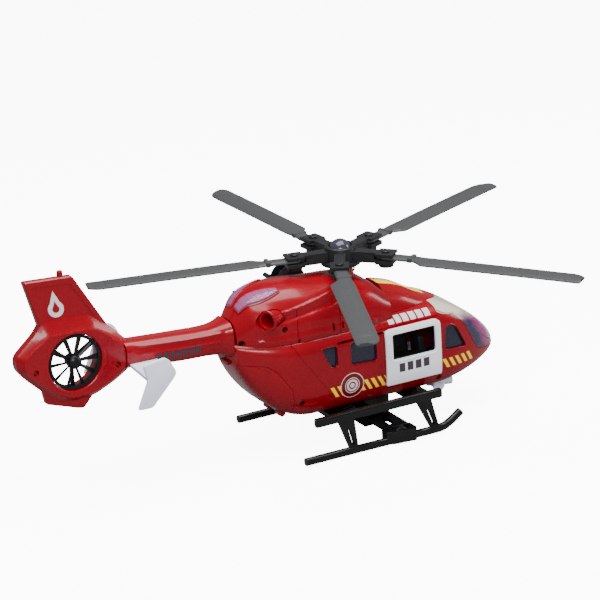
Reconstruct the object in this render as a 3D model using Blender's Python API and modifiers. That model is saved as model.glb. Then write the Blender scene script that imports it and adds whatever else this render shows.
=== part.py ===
"""Toy rescue helicopter with a folding five-blade rotor, shrouded tail fan, sliding cabin doors, a drop-down
rear hatch, a hoist and a free-wheeling axle between its skids.

Lengths are millimetres and are turned into metres where a mesh is made. The design axes are +X to the nose,
+Y to port and +Z up, from the rotor axis at the level of the skid soles. At the end one empty carries every
piece so that the world origin is at the bottom centre of the whole object's box.
"""

from math import cos, pi, radians, sin

import bmesh
import bpy
from mathutils import Matrix, Vector

MM = 0.001
GAP = 0.3
NUDGE = 1.0
WELD = 0.00001
ROUND_STEPS = 20
FINE_STEPS = 40

# Hull: one closed loft along X, cut into two shells, the windshield and the rear hatch.
CABIN_HALF_WIDTH = 38.0
CABIN_BOTTOM = 26.0
CABIN_TOP = 97.0
NOSE_START = 66.0
NOSE_TIP = 133.5
NOSE_TIP_BOTTOM = 42.0
NOSE_TIP_TOP = 43.0
TAPER_START = -45.0
TAPER_END = -108.0
TAPER_HALF_WIDTH = 15.0
TAPER_BOTTOM = 84.0
HULL_REAR = -106.0
HULL_WALL = 2.0
HULL_UPPER_POWER = 5.0
HULL_LOWER_POWER = 3.5
HULL_RING = 32

# Upper decks
DECK_Z = 93.0
COWL_REAR = -104.0
COWL_FRONT = 27.0
COWL_POWER = 2.8
COWL_CREST = (
    (-104, 114), (-92, 128.3), (-75, 134), (-54, 135), (-30, 132), (0, 129.5), (14, 124.5), (27, 114.5),
)
COWL_HALF_WIDTH = ((-104, 16), (-92, 24), (-75, 30), (-50, 33), (0, 33), (27, 31))
FAIRING_TIP = 82.0
FAIRING_CREST = ((27, 117), (45, 111.5), (62, 102.5), (82, 94))
FAIRING_HALF_WIDTH = ((27, 25), (45, 23.5), (62, 19), (74, 12), (82, 3))
FAIRING_POWER = 2.4
COWL_WALL = 2.2
COWL_STEPS = 11
INTAKE = ((20, 12, 98), (40, 23, 105.5))
LENS_EDGES = ((-98.5, 2.2, 10.5), (-92, 3.5, 14.0), (-84, 6.0, 17.6), (-75, 9.5, 18.6), (-66, 13.5, 17.2))
LENS_RISE = 1.5
LENS_BED = 1.2
EXHAUST = (-75.5, 24.2, 115.0)
EXHAUST_AXIS = (-26, 14, 0)
EXHAUST_RADIUS = 7.2
EXHAUST_BORE = 4.8
COLLAR_RADIUS = 10.0

# Openings and panels, as side outlines in X and Z
DOOR_REAR = 15.0
DOOR_FRONT = 65.0
DOOR_SILL = 41.5
DOOR_HEAD = 88.0
DOOR_CLEARANCE = 0.6
DOOR_THICKNESS = 1.9
DOOR_FRAME = 3.0
DOOR_WINDOW = ((21, 62.5), (60, 62.5), (60, 83.5), (21, 83.5))
DOOR_TOP_ROUND = 5.0
DOOR_FOOT_ROUND = 1.2
DOOR_TRAVEL = 42.0
RUNNER = ((16.0, -38.2, 85.6), (18.4, -33.5, 86.8))
RUNNER_PLAY = 0.4
BATTERY_LID = ((-60, -15), (-38, -15), (-38, 15), (-60, 15))
WINDSHIELD = (
    (65.5, 110), (65.5, 91.5), (70, 89), (80, 86.5), (90, 76), (96, 65), (104, 51), (118, 46.5), (145, 43.5),
    (145, 110),
)
HATCH = ((-66, 20), (-66, 45), (-67.5, 56.5), (-78.5, 72.5), (-86, 78.5), (-98, 80), (-120, 81), (-120, 20))
REAR_WINDOW = ((-42, 85), (-34, 67.5), (-27.3, 67.3), (-27, 85))
MIDDLE_WINDOW = ((-16, 66), (8, 64.5), (8, 84.5), (-16, 84.5))
COCKPIT_WINDOW = ((69, 59.5), (92, 57.5), (82, 76.5), (76, 80.5), (70.5, 79))
GLASS_WALL = 1.5

# Rotor
SCREW_RADIUS = 37.7
BLADE_LENGTH = 167.0
ARM_PHASE = -120.4
BLADE_FOLD = (9.5, -3.9, 0.9, -4.8, -4.0)
BLADES = len(BLADE_FOLD)
HUB_BOTTOM = 137.6
ARM_BOTTOM = 140.6
ARM_TOP = 149.2
ARM_HALF = 4.5
ARM_PLATE_HALF = 7.5
SLOT_BOTTOM = 143.8
SLOT_TOP = 147.2
DOME_TOP = 157.6
BLADE_THICKNESS = 2.6
BLADE_DROOP = 2.2

# Tail
FAN_X = -238.7
FAN_Z = 110.3
DUCT_RADIUS = 22.4
FAN_Y = -4.5
TAIL_HALF = 8.5
BOOM_FRONT = HULL_REAR - GAP
BOOM_REAR = -196.0
STABILISER_Z = 97.5
STABILISER_HALF_SPAN = 47.0
STABILISER_THICKNESS = 3.0
BOOM_HALF_WIDTH = ((-196, 10.5), (-150, 11.5), (-122, 12), (-112, 13.5), (-106, 16.5))
BOOM_BELLY = ((-196, 94.5), (-150, 90), (-122, 88.5), (-112, 86.5), (-106, 83.5))
BOOM_BACK = ((-196, 116.5), (-150, 113), (-122, 111.5), (-112, 113), (-106, 115))
BOOM_POWER = 3
BOOM_RING = 24
BEACON_BOTTOM = 179.4
DUCT_LIP = 3.5
BOOM_WALL = 2.2
FIN_HALF = 3.6
BELLY_FIN_HALF = 3.0
TAIL_EDGE_SHARE = 0.3
RING_PLATE = (
    (-205, 131), (-226, 146), (-262, 147), (-268, 138), (-286, 122.5), (-286, 112.5), (-278, 102.5),
    (-259, 84.2), (-244, 78), (-223, 78.4), (-204, 86.5), (-190, 95), (-190, 115),
)
FIN = ((-198, 117), (-234, 178), (-275, 181), (-264, 141), (-240, 125))
BELLY_FIN = ((-266, 95), (-263, 79.5), (-236, 70.3), (-231, 69.5), (-222, 80), (-240, 90))
FAN_BLADES = 10
FAN_TILT = 28
ENDPLATE = (
    (-201, 111), (-182.3, 113.7), (-178.2, 110.3), (-173, 99.8), (-175.4, 95.9), (-195.2, 75.6), (-207.6, 76),
    (-197.9, 98),
)

# Undercarriage
TUBE_Y = 56.0
TUBE_RADIUS = 3.3
RAIL_Y = 51.0
RAIL_BOTTOM = 27.5
RAIL_TOP = 34.5
AXLE_X = 15.5
WHEEL_RADIUS = 6.4
AXLE_Z = WHEEL_RADIUS + 0.3
AXLE_RADIUS = 1.2
WHEEL_Y = 55.5
RAIL_HALF = 3.0
RAIL_ENDS = (-57, 56)
SKID_BEND = ((-70.5, TUBE_RADIUS), (50, TUBE_RADIUS), (56, 4.4), (62, 7.3), (71, 13.5))
STRUTS = ((-31, -27, 7.0, 3.2), (39.5, 47, 6.5, 3.2))
STRUT_DEPTH = 2.2
WHEEL_POD = ((2, -49.5), (2, -58), (8, -61), (26, -63), (28, -60), (28, -49.5))
BEAM_PROFILE = (
    (-31, 25.7), (31, 25.7), (47.7, 33.4), (47.7, 28.4),
    (30, 21.5), (-30, 21.5), (-47.7, 28.4), (-47.7, 33.4),
)

# Hatch hinge, hoist and lamp
HINGE_X = -66.3
HINGE_Z = 29.8
KNUCKLE_RADIUS = 3.0
KNUCKLE_SPLIT = 5.9
KNUCKLE_END = 13.3
HOIST_X = -27.0
HOIST_Z = 118.5
HOIST_RADIUS = 12.5
HOIST_INNER_Y = 34.0
HOIST_OUTER_Y = 47.5
HOIST_HUB_RADIUS = 7.0
CRANK_Y = 52.9
LAMP_X = 80.0
LAMP_Z = 18.3


# Scene, materials and mesh helpers

def clear_scene():
    for obj in list(bpy.data.objects):
        bpy.data.objects.remove(obj, do_unlink=True)


def make_collection(name, hidden=False):
    collection = bpy.data.collections.new(name)
    collection.hide_render = hidden
    bpy.context.scene.collection.children.link(collection)
    return collection


def paint(name, colour, roughness, metallic=0.0, transmission=0.0):
    material = bpy.data.materials.new(name)
    material.use_nodes = True
    shader = material.node_tree.nodes["Principled BSDF"]
    shader.inputs["Base Color"].default_value = (*colour, 1.0)
    shader.inputs["Roughness"].default_value = roughness
    shader.inputs["Metallic"].default_value = metallic
    shader.inputs["Transmission Weight"].default_value = transmission
    material.diffuse_color = (*colour, 1.0)
    return material


def add(name, bm, material=None):
    """Links the mesh as a piece, or as a hidden cutter where it has no material."""
    mesh = bpy.data.meshes.new(name)
    bmesh.ops.recalc_face_normals(bm, faces=bm.faces)
    bmesh.ops.scale(bm, verts=bm.verts, vec=(MM, MM, MM))
    bm.to_mesh(mesh)
    bm.free()
    return link(name, mesh, material)


def link(name, mesh, material=None):
    obj = bpy.data.objects.new(name, mesh)
    if material is None:
        obj.hide_render = True
        obj.display_type = "WIRE"
        CUTTERS.objects.link(obj)
    else:
        mesh.materials.clear()
        mesh.materials.append(material)
        mesh.shade_smooth()
        mesh.set_sharp_from_angle(angle=radians(35))
        PARTS.objects.link(obj)
    obj.parent = ROOT
    return obj


def boolean(obj, other, operation="DIFFERENCE", solver="EXACT"):
    modifier = obj.modifiers.new(other.name, "BOOLEAN")
    modifier.operation = operation
    modifier.solver = solver
    modifier.object = other
    return obj


def cut(obj, *others):
    for other in others:
        boolean(obj, other)
    return obj


def join(obj, *others):
    for other in others:
        boolean(obj, other, "UNION")
    return obj


def keep(obj, *others):
    for other in others:
        boolean(obj, other, "INTERSECT")
    return obj


def baked_mesh(obj, name):
    bpy.context.view_layer.update()
    graph = bpy.context.evaluated_depsgraph_get()
    mesh = bpy.data.meshes.new_from_object(obj.evaluated_get(graph))
    mesh.name = name
    return mesh


def mirrored(obj, name):
    """The port twin of a starboard piece."""
    mesh = baked_mesh(obj, name)
    mesh.transform(obj.matrix_local)
    mesh.transform(Matrix.Scale(-1, 4, (0, 1, 0)))
    mesh.flip_normals()
    return link(name, mesh, obj.data.materials[0])


def pivot(obj, point):
    """Moves the object's origin to a point on its joint's axis, without moving its shape."""
    spot = Vector(point) * MM
    obj.data.transform(Matrix.Translation(-spot))
    obj.location = spot
    return obj


# Shapes

def box(name, low, high, material=None):
    bm = bmesh.new()
    bmesh.ops.create_cube(bm, size=1.0)
    size = Vector(high) - Vector(low)
    middle = (Vector(high) + Vector(low)) / 2
    bmesh.ops.scale(bm, verts=bm.verts, vec=size)
    bmesh.ops.translate(bm, verts=bm.verts, vec=middle)
    return add(name, bm, material)


def rod(name, start, end, radius, material=None, end_radius=None, steps=ROUND_STEPS):
    """A cylinder, or a cone with another end radius, between two points."""
    bm = bmesh.new()
    along = Vector(end) - Vector(start)
    turn = along.to_track_quat("Z", "Y").to_matrix().to_4x4()
    place = Matrix.Translation((Vector(start) + Vector(end)) / 2) @ turn
    far = radius if end_radius is None else end_radius
    bmesh.ops.create_cone(
        bm, cap_ends=True, segments=steps, radius1=radius, radius2=far, depth=along.length, matrix=place
    )
    return add(name, bm, material)


def loft(name, rings, material=None):
    """A closed solid through rings with equal numbers of points."""
    bm = bmesh.new()
    rows = [[bm.verts.new(point) for point in ring] for ring in rings]
    count = len(rows[0])
    for near, far in zip(rows, rows[1:]):
        for i in range(count):
            j = (i + 1) % count
            bm.faces.new((near[i], near[j], far[j], far[i]))
    bm.faces.new(rows[0])
    bm.faces.new(rows[-1])
    return add(name, bm, material)


def welded(name, data, place=Matrix.Identity(4), screw_steps=0):
    """The closed mesh of a curve, or of a profile turned about Z, put in its place."""
    guide = bpy.data.objects.new(name + "_guide", data)
    CUTTERS.objects.link(guide)
    if screw_steps:
        screw = guide.modifiers.new("turn", "SCREW")
        screw.steps = screw_steps
        screw.render_steps = screw_steps
        screw.use_merge_vertices = True
        screw.merge_threshold = WELD
    mesh = baked_mesh(guide, name)
    bpy.data.objects.remove(guide, do_unlink=True)
    mesh.transform(place)
    bm = bmesh.new()
    bm.from_mesh(mesh)
    bmesh.ops.remove_doubles(bm, verts=bm.verts, dist=WELD)
    bmesh.ops.recalc_face_normals(bm, faces=bm.faces)
    bm.to_mesh(mesh)
    bm.free()
    return mesh


def path_curve(name, points, dimensions, cyclic):
    curve = bpy.data.curves.new(name, "CURVE")
    curve.dimensions = dimensions
    spline = curve.splines.new("POLY")
    spline.points.add(len(points) - 1)
    for knot, point in zip(spline.points, points):
        knot.co = (*(Vector(point) * MM), 1.0)
    spline.use_cyclic_u = cyclic
    return curve


def prism(name, outline, near, far, across, up, material=None):
    """A flat outline along the axes across and up, extruded along the third axis from near to far."""
    curve = path_curve(name, [(a, b, 0) for a, b in outline], "2D", True)
    curve.fill_mode = "BOTH"
    curve.extrude = abs(far - near) / 2 * MM
    along = Vector((1, 1, 1)) - Vector(across) - Vector(up)
    place = Matrix((across, up, along)).transposed().to_4x4()
    place.translation = along * (near + far) / 2 * MM
    return link(name, welded(name, curve, place), material)


def side_prism(name, outline, near, far, material=None):
    """An outline in X and Z, extruded along Y."""
    return prism(name, outline, near, far, (1, 0, 0), (0, 0, 1), material)


def plan_prism(name, outline, low, high, material=None):
    """An outline in X and Y, extruded along Z."""
    return prism(name, outline, low, high, (1, 0, 0), (0, 1, 0), material)


def front_prism(name, outline, rear, front, material=None):
    """An outline in Y and Z, extruded along X."""
    return prism(name, outline, rear, front, (0, 1, 0), (0, 0, 1), material)


def turned(name, profile, centre, axis, material=None, steps=ROUND_STEPS):
    """A profile of radius and height, from the top down, turned about an axis through centre."""
    points = [(0, profile[0][1]), *profile, (0, profile[-1][1])]
    mesh = bpy.data.meshes.new(name)
    mesh.from_pydata(
        [(radius * MM, 0, height * MM) for radius, height in points],
        [(i, i + 1) for i in range(len(points) - 1)], [],
    )
    spin = Vector(axis).to_track_quat("Z", "Y").to_matrix().to_4x4()
    place = Matrix.Translation(Vector(centre) * MM) @ spin
    return link(name, welded(name, mesh, place, steps), material)


def tube(name, points, radius, material=None, bevel=4):
    """A round bar along points."""
    curve = path_curve(name, points, "3D", False)
    curve.bevel_depth = radius * MM
    curve.bevel_resolution = bevel
    curve.use_fill_caps = True
    return link(name, welded(name, curve), material)


def rounded(outline, radius, steps=4):
    """The outline with each corner replaced by an arc-like run of points."""
    points = []
    count = len(outline)
    for i, corner in enumerate(outline):
        here = Vector(corner)
        back = Vector(outline[i - 1]) - here
        on = Vector(outline[(i + 1) % count]) - here
        reach = min(radius, back.length * 0.45, on.length * 0.45)
        start = here + back.normalized() * reach
        end = here + on.normalized() * reach
        for k in range(steps + 1):
            t = k / steps
            points.append(tuple(start * (1 - t) ** 2 + here * 2 * t * (1 - t) + end * t ** 2))
    return points


def area(outline):
    return sum(a[0] * b[1] - b[0] * a[1] for a, b in zip(outline, outline[1:] + outline[:1])) / 2


def grown(outline, distance):
    """The outline moved outwards by distance, or inwards by a negative one."""
    outline = [tuple(point) for point in outline]
    turn = 1 if area(outline) > 0 else -1
    points = []
    for i, corner in enumerate(outline):
        here = Vector(corner)
        before = (here - Vector(outline[i - 1])).normalized()
        after = (Vector(outline[(i + 1) % len(outline)]) - here).normalized()
        normal_a = Vector((before.y, -before.x)) * turn
        normal_b = Vector((after.y, -after.x)) * turn
        middle = (normal_a + normal_b).normalized()
        points.append(tuple(here + middle * distance / max(0.5, middle.dot(normal_a))))
    return points


def through(knots, x):
    """A smooth curve through a few knots."""
    if x <= knots[0][0]:
        return float(knots[0][1])
    if x >= knots[-1][0]:
        return float(knots[-1][1])
    i = max(k for k in range(len(knots) - 1) if knots[k][0] <= x)

    def slope(k):
        low, high = max(k - 1, 0), min(k + 1, len(knots) - 1)
        return (knots[high][1] - knots[low][1]) / (knots[high][0] - knots[low][0])

    (x0, y0), (x1, y1) = knots[i], knots[i + 1]
    width = x1 - x0
    t = (x - x0) / width
    return (
        (2 * t ** 3 - 3 * t ** 2 + 1) * y0
        + (t ** 3 - 2 * t ** 2 + t) * width * slope(i)
        + (3 * t ** 2 - 2 * t ** 3) * y1
        + (t ** 3 - t ** 2) * width * slope(i + 1)
    )


def power(value, exponent):
    return abs(value) ** exponent * (1 if value >= 0 else -1)


def section(x, half, bottom, top, upper, lower, count):
    """A superellipse across X, with one exponent above its middle and another below."""
    middle = (bottom + top) / 2
    height = (top - bottom) / 2
    ring = []
    for i in range(count):
        angle = 2 * pi * (i + 0.5) / count
        shape = 2 / (upper if sin(angle) > 0 else lower)
        ring.append((x, half * power(cos(angle), shape), middle + height * power(sin(angle), shape)))
    return ring


# Hull

def share(value):
    return min(1.0, max(0.0, value))


def hull_size(x):
    """Half width, bottom and top of the hull at x."""
    nose = share((x - NOSE_START) / (NOSE_TIP - NOSE_START))
    taper = share((TAPER_START - x) / (TAPER_START - TAPER_END))
    width = TAPER_HALF_WIDTH + (CABIN_HALF_WIDTH - TAPER_HALF_WIDTH) * (1 - taper ** 2) ** 0.8
    width *= (1 - nose ** 2) ** (2 / 3)
    bottom = CABIN_BOTTOM + (TAPER_BOTTOM - CABIN_BOTTOM) * (1 - (1 - taper ** 2) ** 0.75)
    bottom += (NOSE_TIP_BOTTOM - CABIN_BOTTOM) * nose ** 1.5
    top = NOSE_TIP_TOP + (CABIN_TOP - NOSE_TIP_TOP) * (1 - nose ** 1.5) ** 0.75
    return width, bottom, top


def hull(name, offset=0.0, rear=HULL_REAR, front_share=0.995):
    """The hull's loft, moved in or out by offset."""
    steps = 7
    eased = [sin(pi / 2 * k / steps) for k in range(1, steps + 1)]
    behind = TAPER_START - rear
    ahead = (NOSE_TIP - NOSE_START) * front_share
    stations = [TAPER_START - behind * ease for ease in reversed(eased)]
    stations += [TAPER_START, NOSE_START]
    stations += [NOSE_START + ahead * ease for ease in eased]
    rings = []
    for x in stations:
        width, bottom, top = hull_size(x)
        size = (width + offset, bottom - offset, top + offset)
        rings.append(section(x, *size, HULL_UPPER_POWER, HULL_LOWER_POWER, HULL_RING))
    return loft(name, rings)


def hull_core(name, offset):
    """The hull's inside, short of its rear wall and of its nose."""
    return hull(name, offset, HULL_REAR - offset, 0.94)


def patch(name, outline_solid, outside, inside, material):
    """The part of a hull wall that lies within another solid."""
    piece = link(name, baked_mesh(outside, name), material)
    cut(piece, inside)
    return keep(piece, outline_solid)


def deck_outline(grow):
    """Plan outline of the cowling and roof fairing footprint."""
    side = [(x, through(COWL_HALF_WIDTH, x)) for x, _ in COWL_HALF_WIDTH]
    side += [(x + GAP, through(FAIRING_HALF_WIDTH, x)) for x in fairing_stations()]
    outline = [(x, -y) for x, y in side] + [(x, y) for x, y in reversed(side)]
    return grown(outline, grow)


def door_outline(inset=0.0):
    """Side outline of a door, rounder at its head than at its foot."""
    middle = (DOOR_SILL + DOOR_HEAD) / 2
    rear, front = DOOR_REAR + inset, DOOR_FRONT - inset
    sill, lintel = DOOR_SILL + inset, DOOR_HEAD - inset
    foot = rounded(((rear, middle), (rear, sill), (front, sill), (front, middle)), DOOR_FOOT_ROUND)
    head = rounded(((front, middle), (front, lintel), (rear, lintel), (rear, middle)), DOOR_TOP_ROUND)
    corner = len(foot) // 4
    return foot[corner:3 * corner] + head[corner:3 * corner]


def make_hull_parts():
    skin = hull("hull_skin")
    core = hull_core("hull_core", -HULL_WALL)
    glass_core = hull_core("hull_glass_core", -HULL_WALL - GAP)
    far = CABIN_HALF_WIDTH + 10
    windshield = side_prism("windshield_outline", WINDSHIELD, -far, far)
    hatch = side_prism("hatch_outline", HATCH, -far, far)
    deck = plan_prism("deck_footprint", deck_outline(GAP), DECK_Z - GAP, CABIN_TOP + 20)
    cover = plan_prism("battery_outline", rounded(BATTERY_LID, 2), 0, 40)

    right = patch("fuselage_right", box("starboard", (-200, -far, 0), (200, -GAP / 2, 150)), skin, core, RED)
    cut(right, windshield, hatch, deck, cover)
    cut(right, side_prism("door_hole", door_outline(DOOR_FRAME), -far, -CABIN_HALF_WIDTH / 2))
    cut(right, runner_slot(far))
    for name, outline in (("rear", REAR_WINDOW), ("middle", MIDDLE_WINDOW), ("cockpit", COCKPIT_WINDOW)):
        cut(right, side_prism(name + "_window", rounded(outline, 3), -far, -CABIN_HALF_WIDTH / 4))
    bore = hinge_rod("hinge_bore", -20, 20, 1.3)
    join(right, hinge_rod("fuselage_knuckle", GAP - KNUCKLE_SPLIT, -GAP / 2, KNUCKLE_RADIUS))
    room = hinge_rod("hatch_knuckle_room", -KNUCKLE_END - GAP, -KNUCKLE_SPLIT, KNUCKLE_RADIUS + GAP)
    cut(right, room, bore)
    cut(right, rod("mast_room", (0, 0, 80), (0, 0, 120), 6))
    mirrored(right, "fuselage_left")

    inner_edge = side_prism("windshield_edge", grown(WINDSHIELD, -GAP), -far, far)
    pane = patch("windshield", inner_edge, skin, hull_core("pane_core", -GLASS_WALL), CLEAR)
    cut(pane, plan_prism("deck_room", deck_outline(GAP), DECK_Z - 2 * GAP, CABIN_TOP + 20))

    door_panel = patch("rear_hatch", side_prism("hatch_edge", grown(HATCH, -GAP), -far, far), skin, core, RED)
    for side in (-1, 1):
        inner = side * (KNUCKLE_SPLIT + GAP)
        join(door_panel, hinge_rod("hatch_knuckle", inner, side * KNUCKLE_END, KNUCKLE_RADIUS))
    room = hinge_rod("fuselage_knuckle_room", -KNUCKLE_SPLIT, KNUCKLE_SPLIT, KNUCKLE_RADIUS + GAP)
    cut(door_panel, room, bore)
    join(door_panel, box("hatch_pull", (-108.5, -6, 77.6), (-104.5, 6, 80)))
    pivot(door_panel, (HINGE_X, 0, HINGE_Z))
    hinge_rod("hatch_pin", -13, 13, 0.95, STEEL)

    edge = plan_prism("battery_edge", grown(rounded(BATTERY_LID, 2), -GAP), 0, 40)
    patch("battery_cover", edge, skin, core, BLACK)

    room = box("rear_glass_zone", (-46, -far, 58), (12.5, -5, DECK_Z - 2.5))
    glass_back = hull_core("glass_back", -HULL_WALL - GAP - GLASS_WALL)
    window = patch("side_window_right", room, glass_core, glass_back, GLASS)
    cut(window, runner_slot(far))
    mirrored(window, "side_window_left")
    ahead = side_prism("front_glass_zone", ((64.5, 53), (97, 53), (88, 74), (79, 85), (64.5, 85)), -far, -5)
    patch("cockpit_window_right", ahead, glass_core, glass_back, GLASS)
    mirrored(bpy.data.objects["cockpit_window_right"], "cockpit_window_left")
    make_doors(far)
    make_cabin()


def hinge_rod(name, near, far, radius, material=None):
    """A rod on the hatch's hinge axis."""
    return rod(name, (HINGE_X, near, HINGE_Z), (HINGE_X, far, HINGE_Z), radius, material)


def runner_slot(far):
    """The slot that a door's runner slides in, over the side windows."""
    low = (RUNNER[0][0] - DOOR_TRAVEL - RUNNER_PLAY, -far, RUNNER[0][2] - RUNNER_PLAY)
    high = (RUNNER[1][0] + RUNNER_PLAY, -CABIN_HALF_WIDTH / 2, RUNNER[1][2] + RUNNER_PLAY)
    return box("runner_slot", low, high)


def make_doors(far):
    outer = hull("door_outer", DOOR_CLEARANCE + DOOR_THICKNESS)
    inner = hull("door_inner", DOOR_CLEARANCE)
    shape = side_prism("door_outline", door_outline(), -far, -CABIN_HALF_WIDTH / 2)
    door = patch("door_right", shape, outer, inner, WHITE)
    cut(door, side_prism("door_window_hole", rounded(DOOR_WINDOW, 2), -far, -5))
    join(door, box("door_runner", *RUNNER))
    left = mirrored(door, "door_left")
    middle = ((DOOR_REAR + DOOR_FRONT) / 2, CABIN_HALF_WIDTH, DOOR_SILL)
    pivot(door, (middle[0], -middle[1], middle[2]))
    pivot(left, middle)


def make_cabin():
    """Floor, bulkhead, seats and the boxes that the cabin holds."""
    room = hull_core("cabin_room", -HULL_WALL - GLASS_WALL - 3 * GAP)
    zone = box("floor_zone", (-47, -60, 36), (98, 60, 38.5))
    join(zone, box("bulkhead_zone", (-47, -60, 37), (-45.5, 60, DECK_Z - 1)))
    floor = link("cabin_floor", baked_mesh(room, "cabin_floor"), BLACK)
    keep(floor, zone)
    case = box("sound_box", (-30, -16, 38.8), (46, 16, 88), BLACK)
    cut(case, box("sound_box_room", (-40, -14, 40.8), (44, 14, 86)))
    box("circuit_board", (-28, -13, 60), (20, 13, 61.6), BOARD)
    turned("speaker", ((3, 10), (11, 6), (13, 5), (13, 0)), (26, 0, 42), (0, 0, 1), STEEL)
    holder = box("battery_box", (-60, -13, 34.5), (-49, 13, 52), BLACK)
    cut(holder, box("battery_room", (-58.5, -11.5, 30), (-50.5, 11.5, 50)))
    for side, name in ((-1, "seat_right"), (1, "seat_left")):
        outline = ((56, 38.8), (76, 38.8), (76, 49), (63, 48), (59, 70), (54, 70))
        side_prism(name, outline, side * 8, side * 23, PALE)
    dash = link("dashboard", baked_mesh(room, "dashboard"), VIOLET)
    keep(dash, side_prism("dash_zone", ((90, 38.8), (99, 38.8), (106, 56), (98, 60), (92, 54)), -24, 24))
    ring = turned("yoke_ring", ((5.5, 1), (5.5, -1)), (84, -15.5, 60), (1, 0, 0.5))
    yoke = turned("control_wheel", ((7.5, 1), (7.5, -1)), (84, -15.5, 60), (1, 0, 0.5), PALE)
    cut(yoke, ring)
    stretcher = front_prism("stretcher", ((-30, 57), (-19, 56), (-19, 59), (-30, 60)), 12, 54, PALE)
    join(stretcher, box("stretcher_leg", (30, -24, 38.8), (34, -21, 57.5)))


# Upper decks

def arch(x, width, height, base, exponent, steps=14):
    """Half a superellipse across X, standing on base."""
    ring = []
    for k in range(steps + 1):
        angle = pi * k / steps
        y = width * power(cos(angle), 2 / exponent)
        ring.append((x, y, base + height * sin(angle) ** (2 / exponent)))
    return ring


def deck_loft(name, knots, stations, inset, exponent, material=None):
    """A deck housing through its crest and half width knots, or its inside with an inset."""
    crest, half = knots
    base = DECK_Z - (NUDGE if inset else 0)
    rings = [
        arch(x, through(half, x) - inset, through(crest, x) - inset - base, base, exponent) for x in stations
    ]
    return loft(name, rings, material)


def make_cowling():
    knots = (COWL_CREST, COWL_HALF_WIDTH)
    span = COWL_FRONT - COWL_REAR
    stations = [COWL_REAR + span * k / COWL_STEPS for k in range(COWL_STEPS + 1)]
    inside = [COWL_REAR + COWL_WALL + (span - 2 * COWL_WALL) * k / COWL_STEPS for k in range(COWL_STEPS + 1)]
    cowl = deck_loft("engine_cowling", knots, stations, 0, COWL_POWER, RED)
    cut(cowl, deck_loft("cowl_room", knots, inside, COWL_WALL, COWL_POWER))
    for side in (-1, 1):
        near, far = sorted((side * INTAKE[0][1], side * INTAKE[1][1]))
        cut(cowl, box("intake", (INTAKE[0][0], near, INTAKE[0][2]), (INTAKE[1][0], far, INTAKE[1][2])))
        cut(cowl, exhaust_rod("exhaust_bore", side, -14, 15, EXHAUST_RADIUS + 0.5))
        cut(cowl, lens_blank("lens_bed", side, 0))
    cut(cowl, rod("collar_room", (0, 0, 100), (0, 0, 150), COLLAR_RADIUS + GAP))


def cowl_height(x, y):
    """Height of the cowling's surface over a point of its footprint."""
    width = through(COWL_HALF_WIDTH, x)
    height = through(COWL_CREST, x) - DECK_Z
    return DECK_Z + height * max(0, 1 - abs(y / width) ** COWL_POWER) ** (1 / COWL_POWER)


def lens_blank(name, side, inset, material=None):
    """A bar let into the cowling's rear shoulder, wide at the rear and narrow in front."""
    (rear, *rear_edges), *between, (front, *front_edges) = LENS_EDGES
    rings = []
    for x, inner, outer in ((rear + inset, *rear_edges), *between, (front - inset, *front_edges)):
        near, far = inner + inset, outer - inset
        low = 2 * inset - LENS_BED
        layers = ((near, low), (far, low), (far, LENS_RISE), (near, LENS_RISE))
        rings.append([(x, side * y, cowl_height(x, y) + rise) for y, rise in layers])
    return loft(name, rings, material)


def exhaust_rod(name, side, near, far, radius):
    """A rod on an exhaust's axis, between two distances from its middle."""
    middle = Vector((EXHAUST[0], side * EXHAUST[1], EXHAUST[2]))
    along = Vector((EXHAUST_AXIS[0], side * EXHAUST_AXIS[1], 0)).normalized()
    return rod(name, middle + along * near, middle + along * far, radius, steps=26)


def make_deck_details():
    for side, word in ((-1, "right"), (1, "left")):
        lens_blank("lens_" + word, side, GAP, VIOLET)
        exhaust = turned(
            "exhaust_" + word,
            ((EXHAUST_RADIUS, 8), (EXHAUST_RADIUS, -9), (4.5, -9)),
            (EXHAUST[0], side * EXHAUST[1], EXHAUST[2]),
            (EXHAUST_AXIS[0], side * EXHAUST_AXIS[1], 0), RED,
        )
        cut(exhaust, exhaust_rod("exhaust_hole", side, -4.5, 15, EXHAUST_BORE))
    make_fairing()
    collar = turned(
        "mast_collar", ((8.8, 137), (COLLAR_RADIUS, 129), (COLLAR_RADIUS, 118)), (0, 0, 0), (0, 0, 1), RED
    )
    cut(collar, rod("shaft_bore", (0, 0, 100), (0, 0, 150), 3.4))


def fairing_stations(rear=0.0, front=0.0):
    steps = 10
    start = COWL_FRONT + GAP + rear
    span = FAIRING_TIP - front - start
    return [start + span * k / steps for k in range(steps + 1)]


def make_fairing():
    knots = (FAIRING_CREST, FAIRING_HALF_WIDTH)
    fairing = deck_loft("roof_fairing", knots, fairing_stations(), 0, FAIRING_POWER, RED)
    cut(fairing, deck_loft("fairing_room", knots, fairing_stations(2, 14), COWL_WALL, FAIRING_POWER))


# Rotor

def arm_angle(index):
    return radians(ARM_PHASE + index * 360 / BLADES)


def turn_about_mast(obj, angle):
    obj.data.transform(Matrix.Rotation(angle, 4, "Z"))
    return obj


def screw_rod(name, low, high, radius):
    """An upright rod where a blade's screw would be on an arm along X."""
    return rod(name, (SCREW_RADIUS, 0, low), (SCREW_RADIUS, 0, high), radius, steps=12)


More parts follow.
